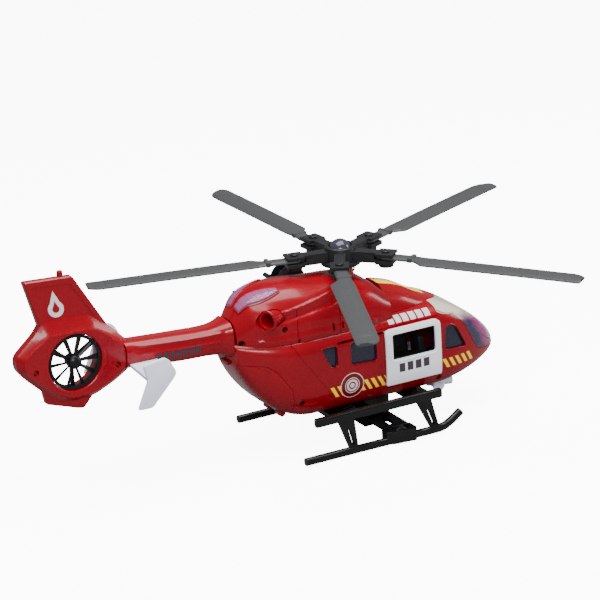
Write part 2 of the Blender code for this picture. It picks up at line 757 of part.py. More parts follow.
def make_rotor():
    rod("rotor_shaft", (0, 0, 88.5), (0, 0, 140.0), 3.0, STEEL)
    hub = turned(
        "rotor_hub",
        ((12.2, 151.5), (12.6, 150.5), (12.6, 140.5), (16.0, 140.5), (16.0, HUB_BOTTOM)),
        (0, 0, 0), (0, 0, 1), SATIN,
    )
    for index in range(BLADES):
        far = SCREW_RADIUS + ARM_PLATE_HALF
        arm = box("arm", (8, -ARM_HALF, ARM_BOTTOM), (36, ARM_HALF, ARM_TOP))
        plate = box("plate", (31, -ARM_PLATE_HALF, ARM_BOTTOM), (far, ARM_PLATE_HALF, ARM_TOP))
        boss = screw_rod("boss", HUB_BOTTOM, ARM_BOTTOM + NUDGE, 6.0)
        slot = box("slot", (SCREW_RADIUS - 8.5, -20, SLOT_BOTTOM), (SCREW_RADIUS + 20, 20, SLOT_TOP))
        hole = screw_rod("hole", HUB_BOTTOM + 1.5, ARM_TOP + NUDGE, 1.9)
        for piece in (arm, plate, boss, slot, hole):
            turn_about_mast(piece, arm_angle(index))
        join(hub, arm, plate, boss)
        cut(hub, slot, hole)
    cut(hub, rod("hub_bore", (0, 0, 120), (0, 0, 145), 3.3), rod("cap_bore", (0, 0, 144), (0, 0, 160), 9.2))
    dome = [(8.8 * cos(a), 148.8 + 8.8 * sin(a)) for a in [radians(80 - 16 * k) for k in range(6)]]
    turned("hub_cap", dome + [(8.8, 145.5)], (0, 0, 0), (0, 0, 1), SATIN)
    pivot(hub, (0, 0, HUB_BOTTOM))
    for index in range(BLADES):
        make_blade(index)


def blade_edges(s):
    """Trailing and leading edge of a blade at distance s from its screw."""
    root = 5.6
    if s < 0:
        reach = max(0.3, root ** 2 - s ** 2) ** 0.5
        return -reach, reach
    step = share((s - 24) / 11)
    low = -root - 6.9 * step
    tip = share((s - BLADE_LENGTH + 14) / 14)
    high = root + 0.8 * step - 11 * (1 - (1 - tip ** 2) ** 0.5)
    low += 3 * (1 - (1 - share((s - BLADE_LENGTH + 4) / 4) ** 2) ** 0.5)
    return low, high


def make_blade(index):
    stations = [-5.5, -4.6, -3, 0, 24, 29.5, 35, 60, 90, 120, 153, 158, 162, 165, BLADE_LENGTH]
    middle = (SLOT_BOTTOM + SLOT_TOP) / 2
    rings = []
    for s in stations:
        low, high = blade_edges(s)
        sag = BLADE_DROOP * (share(s / BLADE_LENGTH)) ** 1.5
        bottom = middle - BLADE_THICKNESS / 2 - sag
        edge = bottom + BLADE_THICKNESS * 0.7
        ridge = (s, (low + high) / 2, bottom + BLADE_THICKNESS)
        rings.append([(s, low, bottom), (s, high, bottom), (s, high, edge), ridge, (s, low, edge)])
    blade = loft(f"blade_{index + 1}", rings, GREY)
    cut(blade, blade_hole(index))
    angle = arm_angle(index)
    place = Matrix.Rotation(angle, 4, "Z") @ Matrix.Translation((SCREW_RADIUS * MM, 0, 0))
    blade.data.transform(place @ Matrix.Rotation(radians(BLADE_FOLD[index]), 4, "Z"))
    spot = Matrix.Rotation(angle, 3, "Z") @ Vector((SCREW_RADIUS, 0, 0))
    pivot(blade, (spot.x, spot.y, middle))
    make_screw(f"blade_screw_{index + 1}", spot)


def make_screw(name, spot):
    """A cross-headed screw standing through the end of a rotor arm."""
    under, edge, top = ARM_TOP + GAP, ARM_TOP + 0.9, ARM_TOP + 1.5
    profile = ((3.0, top), (3.4, edge), (3.4, under), (1.6, under), (1.6, HUB_BOTTOM + 1.9))
    screw = turned(name, profile, (spot.x, spot.y, 0), (0, 0, 1), SATIN, steps=12)
    crosses = []
    for across, along in ((1.8, 0.35), (0.35, 1.8)):
        low = (spot.x - across, spot.y - along, edge)
        crosses.append(box("cross", low, (spot.x + across, spot.y + along, top + NUDGE)))
    cut(screw, join(*crosses))


def blade_hole(index):
    spot = Matrix.Rotation(arm_angle(index), 3, "Z") @ Vector((SCREW_RADIUS, 0, 0))
    return rod("blade_hole", (spot.x, spot.y, 130), (spot.x, spot.y, 160), 2.0, steps=12)


# Tail

def boom_loft(name, inset, front, material=None):
    rings = []
    for x in (BOOM_REAR + 2 * inset, -175, -150, -130, -122, -116, -111, front):
        half = through(BOOM_HALF_WIDTH, x) - inset
        bottom = through(BOOM_BELLY, x) + inset
        top = through(BOOM_BACK, x) - inset
        rings.append(section(x, half, bottom, top, BOOM_POWER, BOOM_POWER, BOOM_RING))
    return loft(name, rings, material)


def tail_plate(name, outline, radius, half):
    """A plate in the XZ plane, reaching past the parting line, with a sloping edge to starboard."""
    slope = half * TAIL_EDGE_SHARE
    inner = grown(outline, -slope)
    layers = ((half / 2, outline), (-half + slope, outline), (-half, inner))
    return loft(name, [[(x, y, z) for x, z in rounded(ring, radius, 3)] for y, ring in layers])


def duct_rod(name, near, far, radius, material=None):
    return rod(name, (FAN_X, near, FAN_Z), (FAN_X, far, FAN_Z), radius, material, steps=FINE_STEPS)


def make_tail():
    right = boom_loft("tail_right", 0, BOOM_FRONT, RED)
    join(
        right,
        tail_plate("tail_ring", RING_PLATE, 6.0, TAIL_HALF),
        tail_plate("fin", FIN, 2.0, FIN_HALF),
        tail_plate("belly_fin", BELLY_FIN, 2.0, BELLY_FIN_HALF),
    )
    cut(right, duct_rod("duct_room", -40, 40, DUCT_RADIUS + DUCT_LIP / 2))
    lip = duct_rod("duct_lip", -TAIL_HALF - GAP, 2, DUCT_RADIUS + DUCT_LIP)
    join(right, cut(lip, duct_rod("duct", -40, 40, DUCT_RADIUS)))
    cut(right, boom_loft("boom_room", BOOM_WALL, BOOM_FRONT + NUDGE))
    room = STABILISER_THICKNESS / 2 + GAP
    cut(right, box("stabiliser_slot", (-194, -60, STABILISER_Z - room), (-168, 60, STABILISER_Z + room)))
    keep(right, box("tail_starboard", (-300, -60, 0), (0, -GAP / 2, 300)))
    mirrored(right, "tail_left")
    make_stabiliser()
    make_fan()
    rod("tail_beacon", (-243, 0, BEACON_BOTTOM), (-243, 0, BEACON_BOTTOM + 4.1), 2.4, RED, steps=16)


def make_stabiliser():
    plan = ((-193.5, -9), (-197, -STABILISER_HALF_SPAN), (-177, -STABILISER_HALF_SPAN), (-170, -9))
    plan += tuple((x, -y) for x, y in reversed(plan))
    low = STABILISER_Z - STABILISER_THICKNESS / 2
    plane = plan_prism("stabiliser", plan, low, low + STABILISER_THICKNESS, LILAC)
    outline = rounded(ENDPLATE, 2, 2)
    for side in (-1, 1):
        near = side * (STABILISER_HALF_SPAN - NUDGE)
        join(plane, side_prism("endplate", outline, near, side * (STABILISER_HALF_SPAN + 1.6)))


def turn_in_duct(obj, angle, y):
    """Carries a piece made about the origin to the fan's axis and turns it about that."""
    obj.data.transform(Matrix.Translation(Vector((FAN_X, y, FAN_Z)) * MM) @ Matrix.Rotation(angle, 4, "Y"))
    return obj


def make_fan():
    centre = Vector((FAN_X, FAN_Y, FAN_Z))
    hub = turned("tail_fan", ((3.0, 5.5), (5.6, 4.0), (5.6, -2.5)), centre, (0, -1, 0), BLACK)
    outer = DUCT_RADIUS - 0.6
    ring = duct_rod("fan_ring", FAN_Y - 3, FAN_Y + 2, outer)
    cut(ring, duct_rod("fan_ring_hole", -20, 9, outer - 2.2))
    for k in range(FAN_BLADES):
        spoke = box("fan_spoke", (4, -1.1, -0.8), (outer - 1, 1.1, 0.8))
        spoke.data.transform(Matrix.Rotation(radians(FAN_TILT), 4, "X"))
        join(hub, turn_in_duct(spoke, 2 * pi * k / FAN_BLADES, FAN_Y - 0.5))
    join(hub, ring)
    cut(hub, duct_rod("fan_bore", FAN_Y - 3, FAN_Y + 9, 1.6))
    pivot(hub, centre)
    bracket = duct_rod("fan_bracket", FAN_Y + 3, FAN_Y + 6.5, 5.0, BLACK)
    join(bracket, duct_rod("fan_pin", FAN_Y - 2.5, FAN_Y + 4, 1.2))
    for k in range(3):
        strut = box("fan_strut", (3, 3.4, -1.4), (DUCT_RADIUS - GAP - 0.1, 6.0, 1.4))
        join(bracket, turn_in_duct(strut, radians(90 + 120 * k), FAN_Y))


# Undercarriage

def strut(name, shape, start, end, half=None):
    """A leg from the rail to the tube between two shares of its height, or a slot with its own half width."""
    top, bottom, top_half, bottom_half = shape
    rings = []
    for t in (start, end):
        width = half or top_half + (bottom_half - top_half) * t
        depth = STRUT_DEPTH * (3 if half else 1)
        x = top + (bottom - top) * t
        y = -RAIL_Y + (RAIL_Y - TUBE_Y) * t
        z = RAIL_BOTTOM + 2 + (TUBE_RADIUS - RAIL_BOTTOM - 1.5) * t
        corners = ((-width, -depth), (width, -depth), (width, depth), (-width, depth))
        rings.append([(x + across, y + along, z) for across, along in corners])
    return loft(name, rings)


def make_undercarriage():
    skid = tube("skid_right", [(x, -TUBE_Y, z) for x, z in SKID_BEND], TUBE_RADIUS, BLACK)
    near, far = -RAIL_Y - RAIL_HALF, -RAIL_Y + RAIL_HALF
    rail = rounded(((near, RAIL_BOTTOM), (far, RAIL_BOTTOM), (far, RAIL_TOP), (near, RAIL_TOP)), 1.5, 2)
    join(skid, front_prism("rail", rail, *RAIL_ENDS))
    for shape in STRUTS:
        join(skid, cut(strut("strut", shape, 0, 1), strut("strut_slot", shape, 0.35, 0.82, 1.0)))
    join(skid, plan_prism("wheel_pod", WHEEL_POD, 1.2, 11.5))
    room = WHEEL_RADIUS + 1.2
    cut(skid, box("wheel_room", (AXLE_X - room, -59, -5), (AXLE_X + room, -52, 14.1)))
    cut(skid, axle_rod("axle_hole", -57, -40, AXLE_RADIUS + 0.5))
    mirrored(skid, "skid_left")
    for side, word in ((-1, "right"), (1, "left")):
        tyre = ((4.8, 2.6), (WHEEL_RADIUS, 2.0), (WHEEL_RADIUS, -2.0), (4.8, -2.6))
        wheel = turned("wheel_" + word, tyre, (AXLE_X, side * WHEEL_Y, AXLE_Z), (0, 1, 0), BLACK)
        cut(wheel, axle_rod("wheel_bore", side * 40, side * 60, AXLE_RADIUS + GAP))
        pivot(wheel, (AXLE_X, side * WHEEL_Y, AXLE_Z))
    pivot(axle_rod("drive_axle", -58.2, 58.2, AXLE_RADIUS, STEEL), (AXLE_X, 0, AXLE_Z))
    make_carrier()
    front_prism("cross_beam_rear", BEAM_PROFILE, -33, 3.5, BLACK)
    front_prism("cross_beam_front", BEAM_PROFILE, 38, 57, BLACK)


def axle_rod(name, near, far, radius, material=None):
    return rod(name, (AXLE_X, near, AXLE_Z), (AXLE_X, far, AXLE_Z), radius, material, steps=16)


def make_carrier():
    """The drive box between the skids, with a plate out to both of them over the axle."""
    carrier = box("drive_box", (4, -19, 3.2), (27, 19, 25.7), BLACK)
    join(carrier, box("carrier_plate", (5, -49.2, 8.6), (27, 49.2, 11.4)))
    for side in (-1, 1):
        near, far = sorted((side * 24, side * 43))
        cut(carrier, box("carrier_slot", (13, near, 0), (18, far, 20)))
    cut(carrier, axle_rod("carrier_bore", -60, 60, AXLE_RADIUS + 0.5))


# Hoist and lamp

def make_hoist():
    rim, hub = HOIST_RADIUS, HOIST_HUB_RADIUS
    profile = ((rim, 0), (rim, -2), (hub, -2.5), (hub, -10.5), (rim, -11), (rim, -13))
    drum = turned("hoist_drum", profile, (HOIST_X, HOIST_INNER_Y, HOIST_Z), (0, -1, 0), BLACK)
    arm = box("crank_arm", (HOIST_X - 12, CRANK_Y - 2, HOIST_Z - 2), (HOIST_X + 2.5, CRANK_Y, HOIST_Z + 2))
    shaft = hoist_rod("crank_shaft", 0, HOIST_OUTER_Y - 1, CRANK_Y, 2.2)
    join(drum, shaft, arm, hoist_rod("crank_grip", -10, CRANK_Y - 1, CRANK_Y + 7, 2.0))
    pivot(drum, (HOIST_X, HOIST_INNER_Y, HOIST_Z))
    foot, head = 99, HOIST_Z + 6
    cheek = ((HOIST_X - 7, foot), (HOIST_X + 7, foot), (HOIST_X + 6, head), (HOIST_X - 6, head))
    bracket = side_prism("hoist_bracket", rounded(cheek, 4), HOIST_OUTER_Y + 0.2, HOIST_OUTER_Y + 2.8, BLACK)
    join(bracket, box("hoist_arm", (HOIST_X - 7, 33.6, foot), (HOIST_X + 7, HOIST_OUTER_Y + 2, foot + 4)))
    cut(bracket, hoist_rod("hoist_bore", 0, 30, 60, 2.7))


def hoist_rod(name, offset, near, far, radius):
    """A rod along the hoist's axis, or beside it by offset."""
    x = HOIST_X + offset
    return rod(name, (x, near, HOIST_Z), (x, far, HOIST_Z), radius, steps=16)


def make_lamp():
    mount = box("lamp_mount", (64, -8.3, 22.9), (84, 8.3, 25.6), LILAC)
    for side in (-1, 1):
        near, far = sorted((side * 6.3, side * 8.3))
        join(mount, rod("lamp_ear", (LAMP_X, near, LAMP_Z), (LAMP_X, far, LAMP_Z), 5.4))
        join(mount, box("lamp_neck", (LAMP_X - 4, near, LAMP_Z), (LAMP_X + 3.5, far, 24)))
    cut(mount, rod("lamp_bore", (LAMP_X, -12, LAMP_Z), (LAMP_X, 12, LAMP_Z), 2.0))
    lamp = rod("search_lamp", (LAMP_X, -5.9, LAMP_Z), (LAMP_X, 5.9, LAMP_Z), 4.1, LILAC)
    join(lamp, rod("lamp_pin", (LAMP_X, -8.0, LAMP_Z), (LAMP_X, 8.0, LAMP_Z), 1.6, steps=16))
    join(lamp, rod("lamp_barrel", (LAMP_X + 2, 0, LAMP_Z), (LAMP_X + 15, 0, LAMP_Z), 3.4, end_radius=4.8))
    pivot(lamp, (LAMP_X, 0, LAMP_Z))


def finish():
    """Moves the empty so that the world origin is the bottom centre of the whole box."""
    bpy.context.view_layer.update()
    graph = bpy.context.evaluated_depsgraph_get()
    low = Vector((1e9, 1e9, 1e9))
    high = -low
    for obj in PARTS.objects:
        if obj.type != "MESH":
            continue
        evaluated = obj.evaluated_get(graph)
        for corner in evaluated.data.vertices:
            point = evaluated.matrix_world @ corner.co
            low = Vector(map(min, low, point))
            high = Vector(map(max, high, point))
    ROOT.location = (-(low.x + high.x) / 2, -(low.y + high.y) / 2, -low.z)


clear_scene()
PARTS = make_collection("toy_helicopter")
CUTTERS = make_collection("cutters", hidden=True)
ROOT = bpy.data.objects.new("helicopter_frame", None)
PARTS.objects.link(ROOT)
RED = paint("red_plastic", (0.52, 0.006, 0.012), 0.28)
WHITE = paint("white_plastic", (0.78, 0.80, 0.86), 0.35)
LILAC = paint("lilac_plastic", (0.62, 0.66, 0.80), 0.35)
BLACK = paint("black_plastic", (0.012, 0.012, 0.014), 0.35)
SATIN = paint("satin_black_plastic", (0.035, 0.035, 0.04), 0.45)
GREY = paint("grey_blade_plastic", (0.12, 0.12, 0.125), 0.5)
CLEAR = paint("clear_plastic", (0.9, 0.88, 0.82), 0.05, transmission=0.9)
GLASS = paint("smoked_plastic", (0.05, 0.05, 0.09), 0.1)
VIOLET = paint("violet_plastic", (0.45, 0.15, 0.5), 0.15)
PALE = paint("pale_plastic", (0.6, 0.6, 0.62), 0.5)
STEEL = paint("steel", (0.55, 0.55, 0.57), 0.3, metallic=1.0)
BOARD = paint("board", (0.02, 0.16, 0.06), 0.5)
make_hull_parts()
make_cowling()
make_deck_details()
make_rotor()
make_tail()
make_undercarriage()
make_hoist()
make_lamp()
finish()
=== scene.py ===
"""Looks of the toy rescue helicopter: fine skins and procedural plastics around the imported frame.

Lengths are millimetres in the part's design frame: +X to the nose, +Y to port, +Z up, from the rotor axis at
the level of the skid soles. place() turns them into metres in the frame.
"""

from math import cos, pi, radians, sin

import bmesh
import bpy
from mathutils import Matrix, Vector


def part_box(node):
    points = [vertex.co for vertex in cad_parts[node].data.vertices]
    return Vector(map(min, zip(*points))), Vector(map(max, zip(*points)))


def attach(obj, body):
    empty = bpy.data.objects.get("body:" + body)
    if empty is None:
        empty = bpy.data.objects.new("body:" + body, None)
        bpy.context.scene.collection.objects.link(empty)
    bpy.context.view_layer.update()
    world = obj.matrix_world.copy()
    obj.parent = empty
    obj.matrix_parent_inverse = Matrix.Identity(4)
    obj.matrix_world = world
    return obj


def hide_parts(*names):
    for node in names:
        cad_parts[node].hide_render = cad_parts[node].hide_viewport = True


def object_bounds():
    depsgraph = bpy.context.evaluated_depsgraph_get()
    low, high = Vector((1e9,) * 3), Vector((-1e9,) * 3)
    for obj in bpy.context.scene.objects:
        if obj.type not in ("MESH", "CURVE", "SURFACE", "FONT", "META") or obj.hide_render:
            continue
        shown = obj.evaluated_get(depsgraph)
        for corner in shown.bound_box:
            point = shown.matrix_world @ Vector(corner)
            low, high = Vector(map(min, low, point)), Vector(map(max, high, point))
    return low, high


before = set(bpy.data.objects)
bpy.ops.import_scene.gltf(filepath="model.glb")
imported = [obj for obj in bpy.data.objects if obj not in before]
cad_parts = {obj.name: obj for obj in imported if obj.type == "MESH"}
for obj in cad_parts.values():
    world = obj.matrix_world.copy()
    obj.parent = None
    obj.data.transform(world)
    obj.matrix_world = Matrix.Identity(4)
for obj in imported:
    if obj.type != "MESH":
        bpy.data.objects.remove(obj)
cad_low, cad_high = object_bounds()

MM = 0.001
FLOOR_GLOW = 9.0
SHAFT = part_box("rotor_shaft")
ORIGIN = Vector(((SHAFT[0].x + SHAFT[1].x) / 2, (SHAFT[0].y + SHAFT[1].y) / 2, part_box("skid_right")[0].z))

# The same driving sizes as the part
CABIN_HALF_WIDTH = 38.0
CABIN_BOTTOM, CABIN_TOP = 26.0, 97.0
NOSE_START, NOSE_TIP = 66.0, 133.5
NOSE_TIP_BOTTOM, NOSE_TIP_TOP = 42.0, 43.0
TAPER_START, TAPER_END = -45.0, -108.0
TAPER_HALF_WIDTH, TAPER_BOTTOM = 15.0, 84.0
HULL_REAR = -106.0
HULL_UPPER_POWER, HULL_LOWER_POWER = 5.0, 3.5
WALL = 2.0
GAP = 0.3
DECK_Z = 93.0
COWL_REAR, COWL_FRONT = -104.0, 27.0
COWL_POWER = 2.8
COWL_CREST = (
    (-104, 114), (-92, 128.3), (-75, 134), (-54, 135), (-30, 132), (0, 129.5), (14, 124.5), (27, 114.5)
)
COWL_HALF_WIDTH = ((-104, 16), (-92, 24), (-75, 30), (-50, 33), (0, 33), (27, 31))
FAIRING_TIP = 82.0
FAIRING_CREST = ((27, 117), (45, 111.5), (62, 102.5), (82, 94))
FAIRING_HALF_WIDTH = ((27, 25), (45, 23.5), (62, 19), (74, 12), (82, 3))
FAIRING_POWER = 2.4
DOOR_REAR, DOOR_FRONT, DOOR_SILL, DOOR_HEAD = 15.0, 65.0, 41.5, 88.0
DOOR_TOP_ROUND, DOOR_FOOT_ROUND, DOOR_TRAVEL = 5.0, 1.2, 42.0
RUNNER = ((16.0, -38.2, 85.6), (18.4, -33.5, 86.8))
RUNNER_PLAY = 0.4
DOOR_CLEARANCE, DOOR_THICKNESS, DOOR_FRAME = 0.6, 1.9, 3.0
DOOR_WINDOW = ((21, 62.5), (60, 62.5), (60, 83.5), (21, 83.5))
LENS_EDGES = ((-98.5, 2.2, 10.5), (-92, 3.5, 14.0), (-84, 6.0, 17.6), (-75, 9.5, 18.6), (-66, 13.5, 17.2))
LENS_RISE, LENS_BED = 1.5, 1.2
EXHAUST, EXHAUST_AXIS = (-75.5, 24.2, 115.0), (-26, 14, 0)
WINDSHIELD = (
    (65.5, 110), (65.5, 91.5), (70, 89), (80, 86.5), (90, 76), (96, 65), (104, 51), (118, 46.5), (145, 43.5),
    (145, 110),
)
HATCH = ((-66, 20), (-66, 45), (-67.5, 56.5), (-78.5, 72.5), (-86, 78.5), (-98, 80), (-120, 81), (-120, 20))
REAR_WINDOW = ((-42, 85), (-34, 67.5), (-27.3, 67.3), (-27, 85))
MIDDLE_WINDOW = ((-16, 66), (8, 64.5), (8, 84.5), (-16, 84.5))
COCKPIT_WINDOW = ((69, 59.5), (92, 57.5), (82, 76.5), (76, 80.5), (70.5, 79))
FAN_X, FAN_Y, FAN_Z, DUCT_RADIUS = -238.7, -4.5, 110.3, 22.4
TAIL_HALF = 8.5
BOOM_FRONT, BOOM_REAR = -106.3, -196.0
BOOM_HALF_WIDTH = ((-196, 10.5), (-150, 11.5), (-122, 12), (-112, 13.5), (-106, 16.5))
BOOM_BELLY = ((-196, 94.5), (-150, 90), (-122, 88.5), (-112, 86.5), (-106, 83.5))
BOOM_BACK = ((-196, 116.5), (-150, 113), (-122, 111.5), (-112, 113), (-106, 115))
RING_PLATE = (
    (-205, 131), (-226, 146), (-262, 147), (-268, 138), (-286, 122.5), (-286, 112.5), (-278, 102.5),
    (-259, 84.2),
    (-244, 78), (-223, 78.4), (-204, 86.5), (-190, 95), (-190, 115),
)
RING_FACE = (
    (-207, 124), (-222, 134.5), (-258, 135.5), (-266, 131), (-281, 120.5), (-281, 113), (-274.5, 105),
    (-257, 89),
    (-243, 82), (-225, 82.4), (-208, 89.5), (-196, 97), (-196, 113),
)
FIN = ((-198, 117), (-234, 178), (-275, 181), (-264, 141), (-240, 125))
BELLY_FIN = ((-266, 95), (-263, 79.5), (-236, 70.3), (-231, 69.5), (-222, 80), (-240, 90))
SCREW_RADIUS, BLADE_LENGTH, ARM_PHASE = 37.7, 167.0, -120.4
BLADE_FOLD = (9.5, -3.9, 0.9, -4.8, -4.0)
BLADES = len(BLADE_FOLD)
BLADE_Z, BLADE_THICKNESS, BLADE_DROOP = 145.5, 2.6, 2.2
BLADE_TIP = BLADE_LENGTH - 1.8
HOIST = (-27.0, 34.0, 118.5)
SLASH_PITCH = 6.05
FAN_BLADES = 10
CAMERA_SPOT, CAMERA_AIM, CAMERA_ROLL = (-1439.1, -2641.4, 1194.1), (0, 0, 135.3), -2.876


# Geometry helpers

def place(x, y, z):
    return ORIGIN + Vector((x, y, z)) * MM


def new_object(name, mesh, material=None):
    obj = bpy.data.objects.new(name, mesh)
    bpy.context.scene.collection.objects.link(obj)
    if material:
        mesh.materials.clear()
        mesh.materials.append(material)
    return obj


def mesh_of(name, points, faces):
    mesh = bpy.data.meshes.new(name)
    mesh.from_pydata([place(*point) for point in points], [], faces)
    bm = bmesh.new()
    bm.from_mesh(mesh)
    bmesh.ops.recalc_face_normals(bm, faces=bm.faces)
    bm.to_mesh(mesh)
    bm.free()
    return mesh


def loft(name, rings):
    """A closed solid through rings with equal numbers of points."""
    count = len(rings[0])
    points = [point for ring in rings for point in ring]
    faces = [
        (k * count + i, k * count + (i + 1) % count, (k + 1) * count + (i + 1) % count, (k + 1) * count + i)
        for k in range(len(rings) - 1) for i in range(count)
    ]
    faces += [tuple(range(count)), tuple(range((len(rings) - 1) * count, len(points)))]
    return new_object(name, mesh_of(name, points, faces))


def side_prism(name, outline, near, far):
    return loft(name, [[(x, y, z) for x, z in outline] for y in (near, far)])


def plan_prism(name, outline, low, high):
    return loft(name, [[(x, y, z) for x, y in outline] for z in (low, high)])


def box(name, low, high):
    return plan_prism(
        name, [(low[0], low[1]), (high[0], low[1]), (high[0], high[1]), (low[0], high[1])], low[2], high[2]
    )


def turned(name, profile, centre, axis, steps=64):
    """A profile of radius and height turned about an axis through centre."""
    spin = Vector(axis).to_track_quat("Z", "Y").to_matrix()
    rings = []
    for radius, height in profile:
        turns = [2 * pi * i / steps for i in range(steps)]
        rings.append([
            tuple(Vector(centre) + spin @ Vector((radius * cos(a), radius * sin(a), height))) for a in turns
        ])
    return loft(name, rings)


def rod(name, start, end, radius, steps=48, end_radius=None):
    far = radius if end_radius is None else end_radius
    length = (Vector(end) - Vector(start)).length
    return turned(name, ((radius, 0), (far, length)), start, Vector(end) - Vector(start), steps)


def tube(name, points, radius, closed=False, resolution=4):
    """A round bar along a run of points, as a mesh."""
    curve = bpy.data.curves.new(name, "CURVE")
    curve.dimensions = "3D"
    curve.bevel_depth = radius * MM
    curve.bevel_resolution = resolution
    curve.use_fill_caps = True
    spline = curve.splines.new("POLY")
    spline.points.add(len(points) - 1)
    for knot, point in zip(spline.points, points):
        knot.co = (*place(*point), 1.0)
    spline.use_cyclic_u = closed
    guide = bpy.data.objects.new(name + "_guide", curve)
    bpy.context.scene.collection.objects.link(guide)
    mesh = evaluated(guide, name)
    bpy.data.objects.remove(guide)
    return new_object(name, mesh)


def evaluated(obj, name):
    bpy.context.view_layer.update()
    graph = bpy.context.evaluated_depsgraph_get()
    mesh = bpy.data.meshes.new_from_object(obj.evaluated_get(graph))
    mesh.name = name
    return mesh


def baked(obj):
    """Applies the object's modifiers."""
    mesh = evaluated(obj, obj.name)
    obj.modifiers.clear()
    obj.data = mesh
    return obj


def combine(obj, operation, *others):
    for other in others:
        modifier = obj.modifiers.new(other.name, "BOOLEAN")
        modifier.operation = operation
        modifier.object = other
    baked(obj)
    for other in others:
        bpy.data.objects.remove(other)
    return obj


def cut(obj, *others):
    return combine(obj, "DIFFERENCE", *others)


def keep(obj, *others):
    return combine(obj, "INTERSECT", *others)


def merged(name, objects):
    """One object from several shells."""
    bm = bmesh.new()
    for obj in objects:
        bm.from_mesh(obj.data)
        bpy.data.objects.remove(obj)
    mesh = bpy.data.meshes.new(name)
    bm.to_mesh(mesh)
    bm.free()
    return new_object(name, mesh)


def twin(obj, name):
    """The port copy of a starboard piece."""
    mesh = obj.data.copy()
    mesh.transform(Matrix.Translation((0, -ORIGIN.y, 0)))
    mesh.transform(Matrix.Scale(-1, 4, (0, 1, 0)))
    mesh.transform(Matrix.Translation((0, ORIGIN.y, 0)))
    mesh.flip_normals()
    return new_object(name, mesh)


def bevelled(obj, width, segments=2, angle=38):
    modifier = obj.modifiers.new("edge", "BEVEL")
    modifier.width = width * MM
    modifier.segments = segments
    modifier.limit_method = "ANGLE"
    modifier.angle_limit = radians(angle)
    modifier.use_clamp_overlap = True
    modifier.harden_normals = False
    return baked(obj)


def tidy_mesh(obj, angle=1.0):
    """Dissolves flat seams so that a bevel runs along real edges."""
    bm = bmesh.new()
    bm.from_mesh(obj.data)
    bmesh.ops.remove_doubles(bm, verts=bm.verts, dist=0.000005)
    bmesh.ops.dissolve_limit(bm, angle_limit=radians(angle), verts=bm.verts, edges=bm.edges)
    bm.to_mesh(obj.data)
    bm.free()
    return obj


def dress(obj, material, body="airframe", smooth=32, replaces=()):
    obj.data.materials.clear()
    obj.data.materials.append(material)
    obj.data.shade_smooth()
    obj.data.set_sharp_from_angle(angle=radians(smooth))
    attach(obj, body)
    if replaces:
        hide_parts(*replaces)
    return obj


def refined(node, name, material, body, width=0.5, segments=2, smooth=35):
    """A node's own shape with rounded edges."""
    source = bpy.data.objects.get(node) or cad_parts[node]
    mesh = source.data.copy()
    obj = tidy_mesh(new_object(name, mesh))
    bevelled(obj, width, segments)
    return dress(obj, material, body, smooth, (node,))


def rounded(outline, radius, steps=6):
    points = []
    count = len(outline)
    for i, corner in enumerate(outline):
        here = Vector(corner)
        back = Vector(outline[i - 1]) - here
        on = Vector(outline[(i + 1) % count]) - here
        reach = min(radius, back.length * 0.45, on.length * 0.45)
        start = here + back.normalized() * reach
        end = here + on.normalized() * reach
        for k in range(steps + 1):
            t = k / steps
            points.append(tuple(start * (1 - t) ** 2 + here * 2 * t * (1 - t) + end * t ** 2))
    return points


def area(outline):
    return sum(a[0] * b[1] - b[0] * a[1] for a, b in zip(outline, outline[1:] + outline[:1])) / 2


def grown(outline, distance):
    outline = [tuple(point) for point in outline]
    turn = 1 if area(outline) > 0 else -1
    points = []
    for i, corner in enumerate(outline):
        here = Vector(corner)
        before = (here - Vector(outline[i - 1])).normalized()
        after = (Vector(outline[(i + 1) % len(outline)]) - here).normalized()
        normal_a = Vector((before.y, -before.x)) * turn
        normal_b = Vector((after.y, -after.x)) * turn
        middle = (normal_a + normal_b).normalized()
        points.append(tuple(here + middle * distance / max(0.5, middle.dot(normal_a))))
    return points


def spaced(outline, step):
    """The outline with extra points so that no side is longer than step."""
    points = []
    for a, b in zip(outline, list(outline[1:]) + [outline[0]]):
        parts = max(1, round((Vector(b) - Vector(a)).length / step))
        points += [tuple(Vector(a).lerp(Vector(b), k / parts)) for k in range(parts)]
    return points


def through(knots, x):
    if x <= knots[0][0]:
        return float(knots[0][1])
    if x >= knots[-1][0]:
        return float(knots[-1][1])
    i = max(k for k in range(len(knots) - 1) if knots[k][0] <= x)

    def slope(k):
        low, high = max(k - 1, 0), min(k + 1, len(knots) - 1)
        return (knots[high][1] - knots[low][1]) / (knots[high][0] - knots[low][0])

    (x0, y0), (x1, y1) = knots[i], knots[i + 1]
    width = x1 - x0
    t = (x - x0) / width
    return (
        (2 * t ** 3 - 3 * t ** 2 + 1) * y0 + (t ** 3 - 2 * t ** 2 + t) * width * slope(i)
        + (3 * t ** 2 - 2 * t ** 3) * y1 + (t ** 3 - t ** 2) * width * slope(i + 1)
    )


def share(value):
    return min(1.0, max(0.0, value))


def power(value, exponent):
    return abs(value) ** exponent * (1 if value >= 0 else -1)


def bell(value, width):
    return max(0.0, 1 - (value / width) ** 2) ** 2


def section(x, half, bottom, top, upper, lower, count):
    middle, height = (bottom + top) / 2, (top - bottom) / 2
    ring = []
    for i in range(count):
        angle = 2 * pi * (i + 0.5) / count
        shape = 2 / (upper if sin(angle) > 0 else lower)
        ring.append((x, half * power(cos(angle), shape), middle + height * power(sin(angle), shape)))
    return ring


# Hull

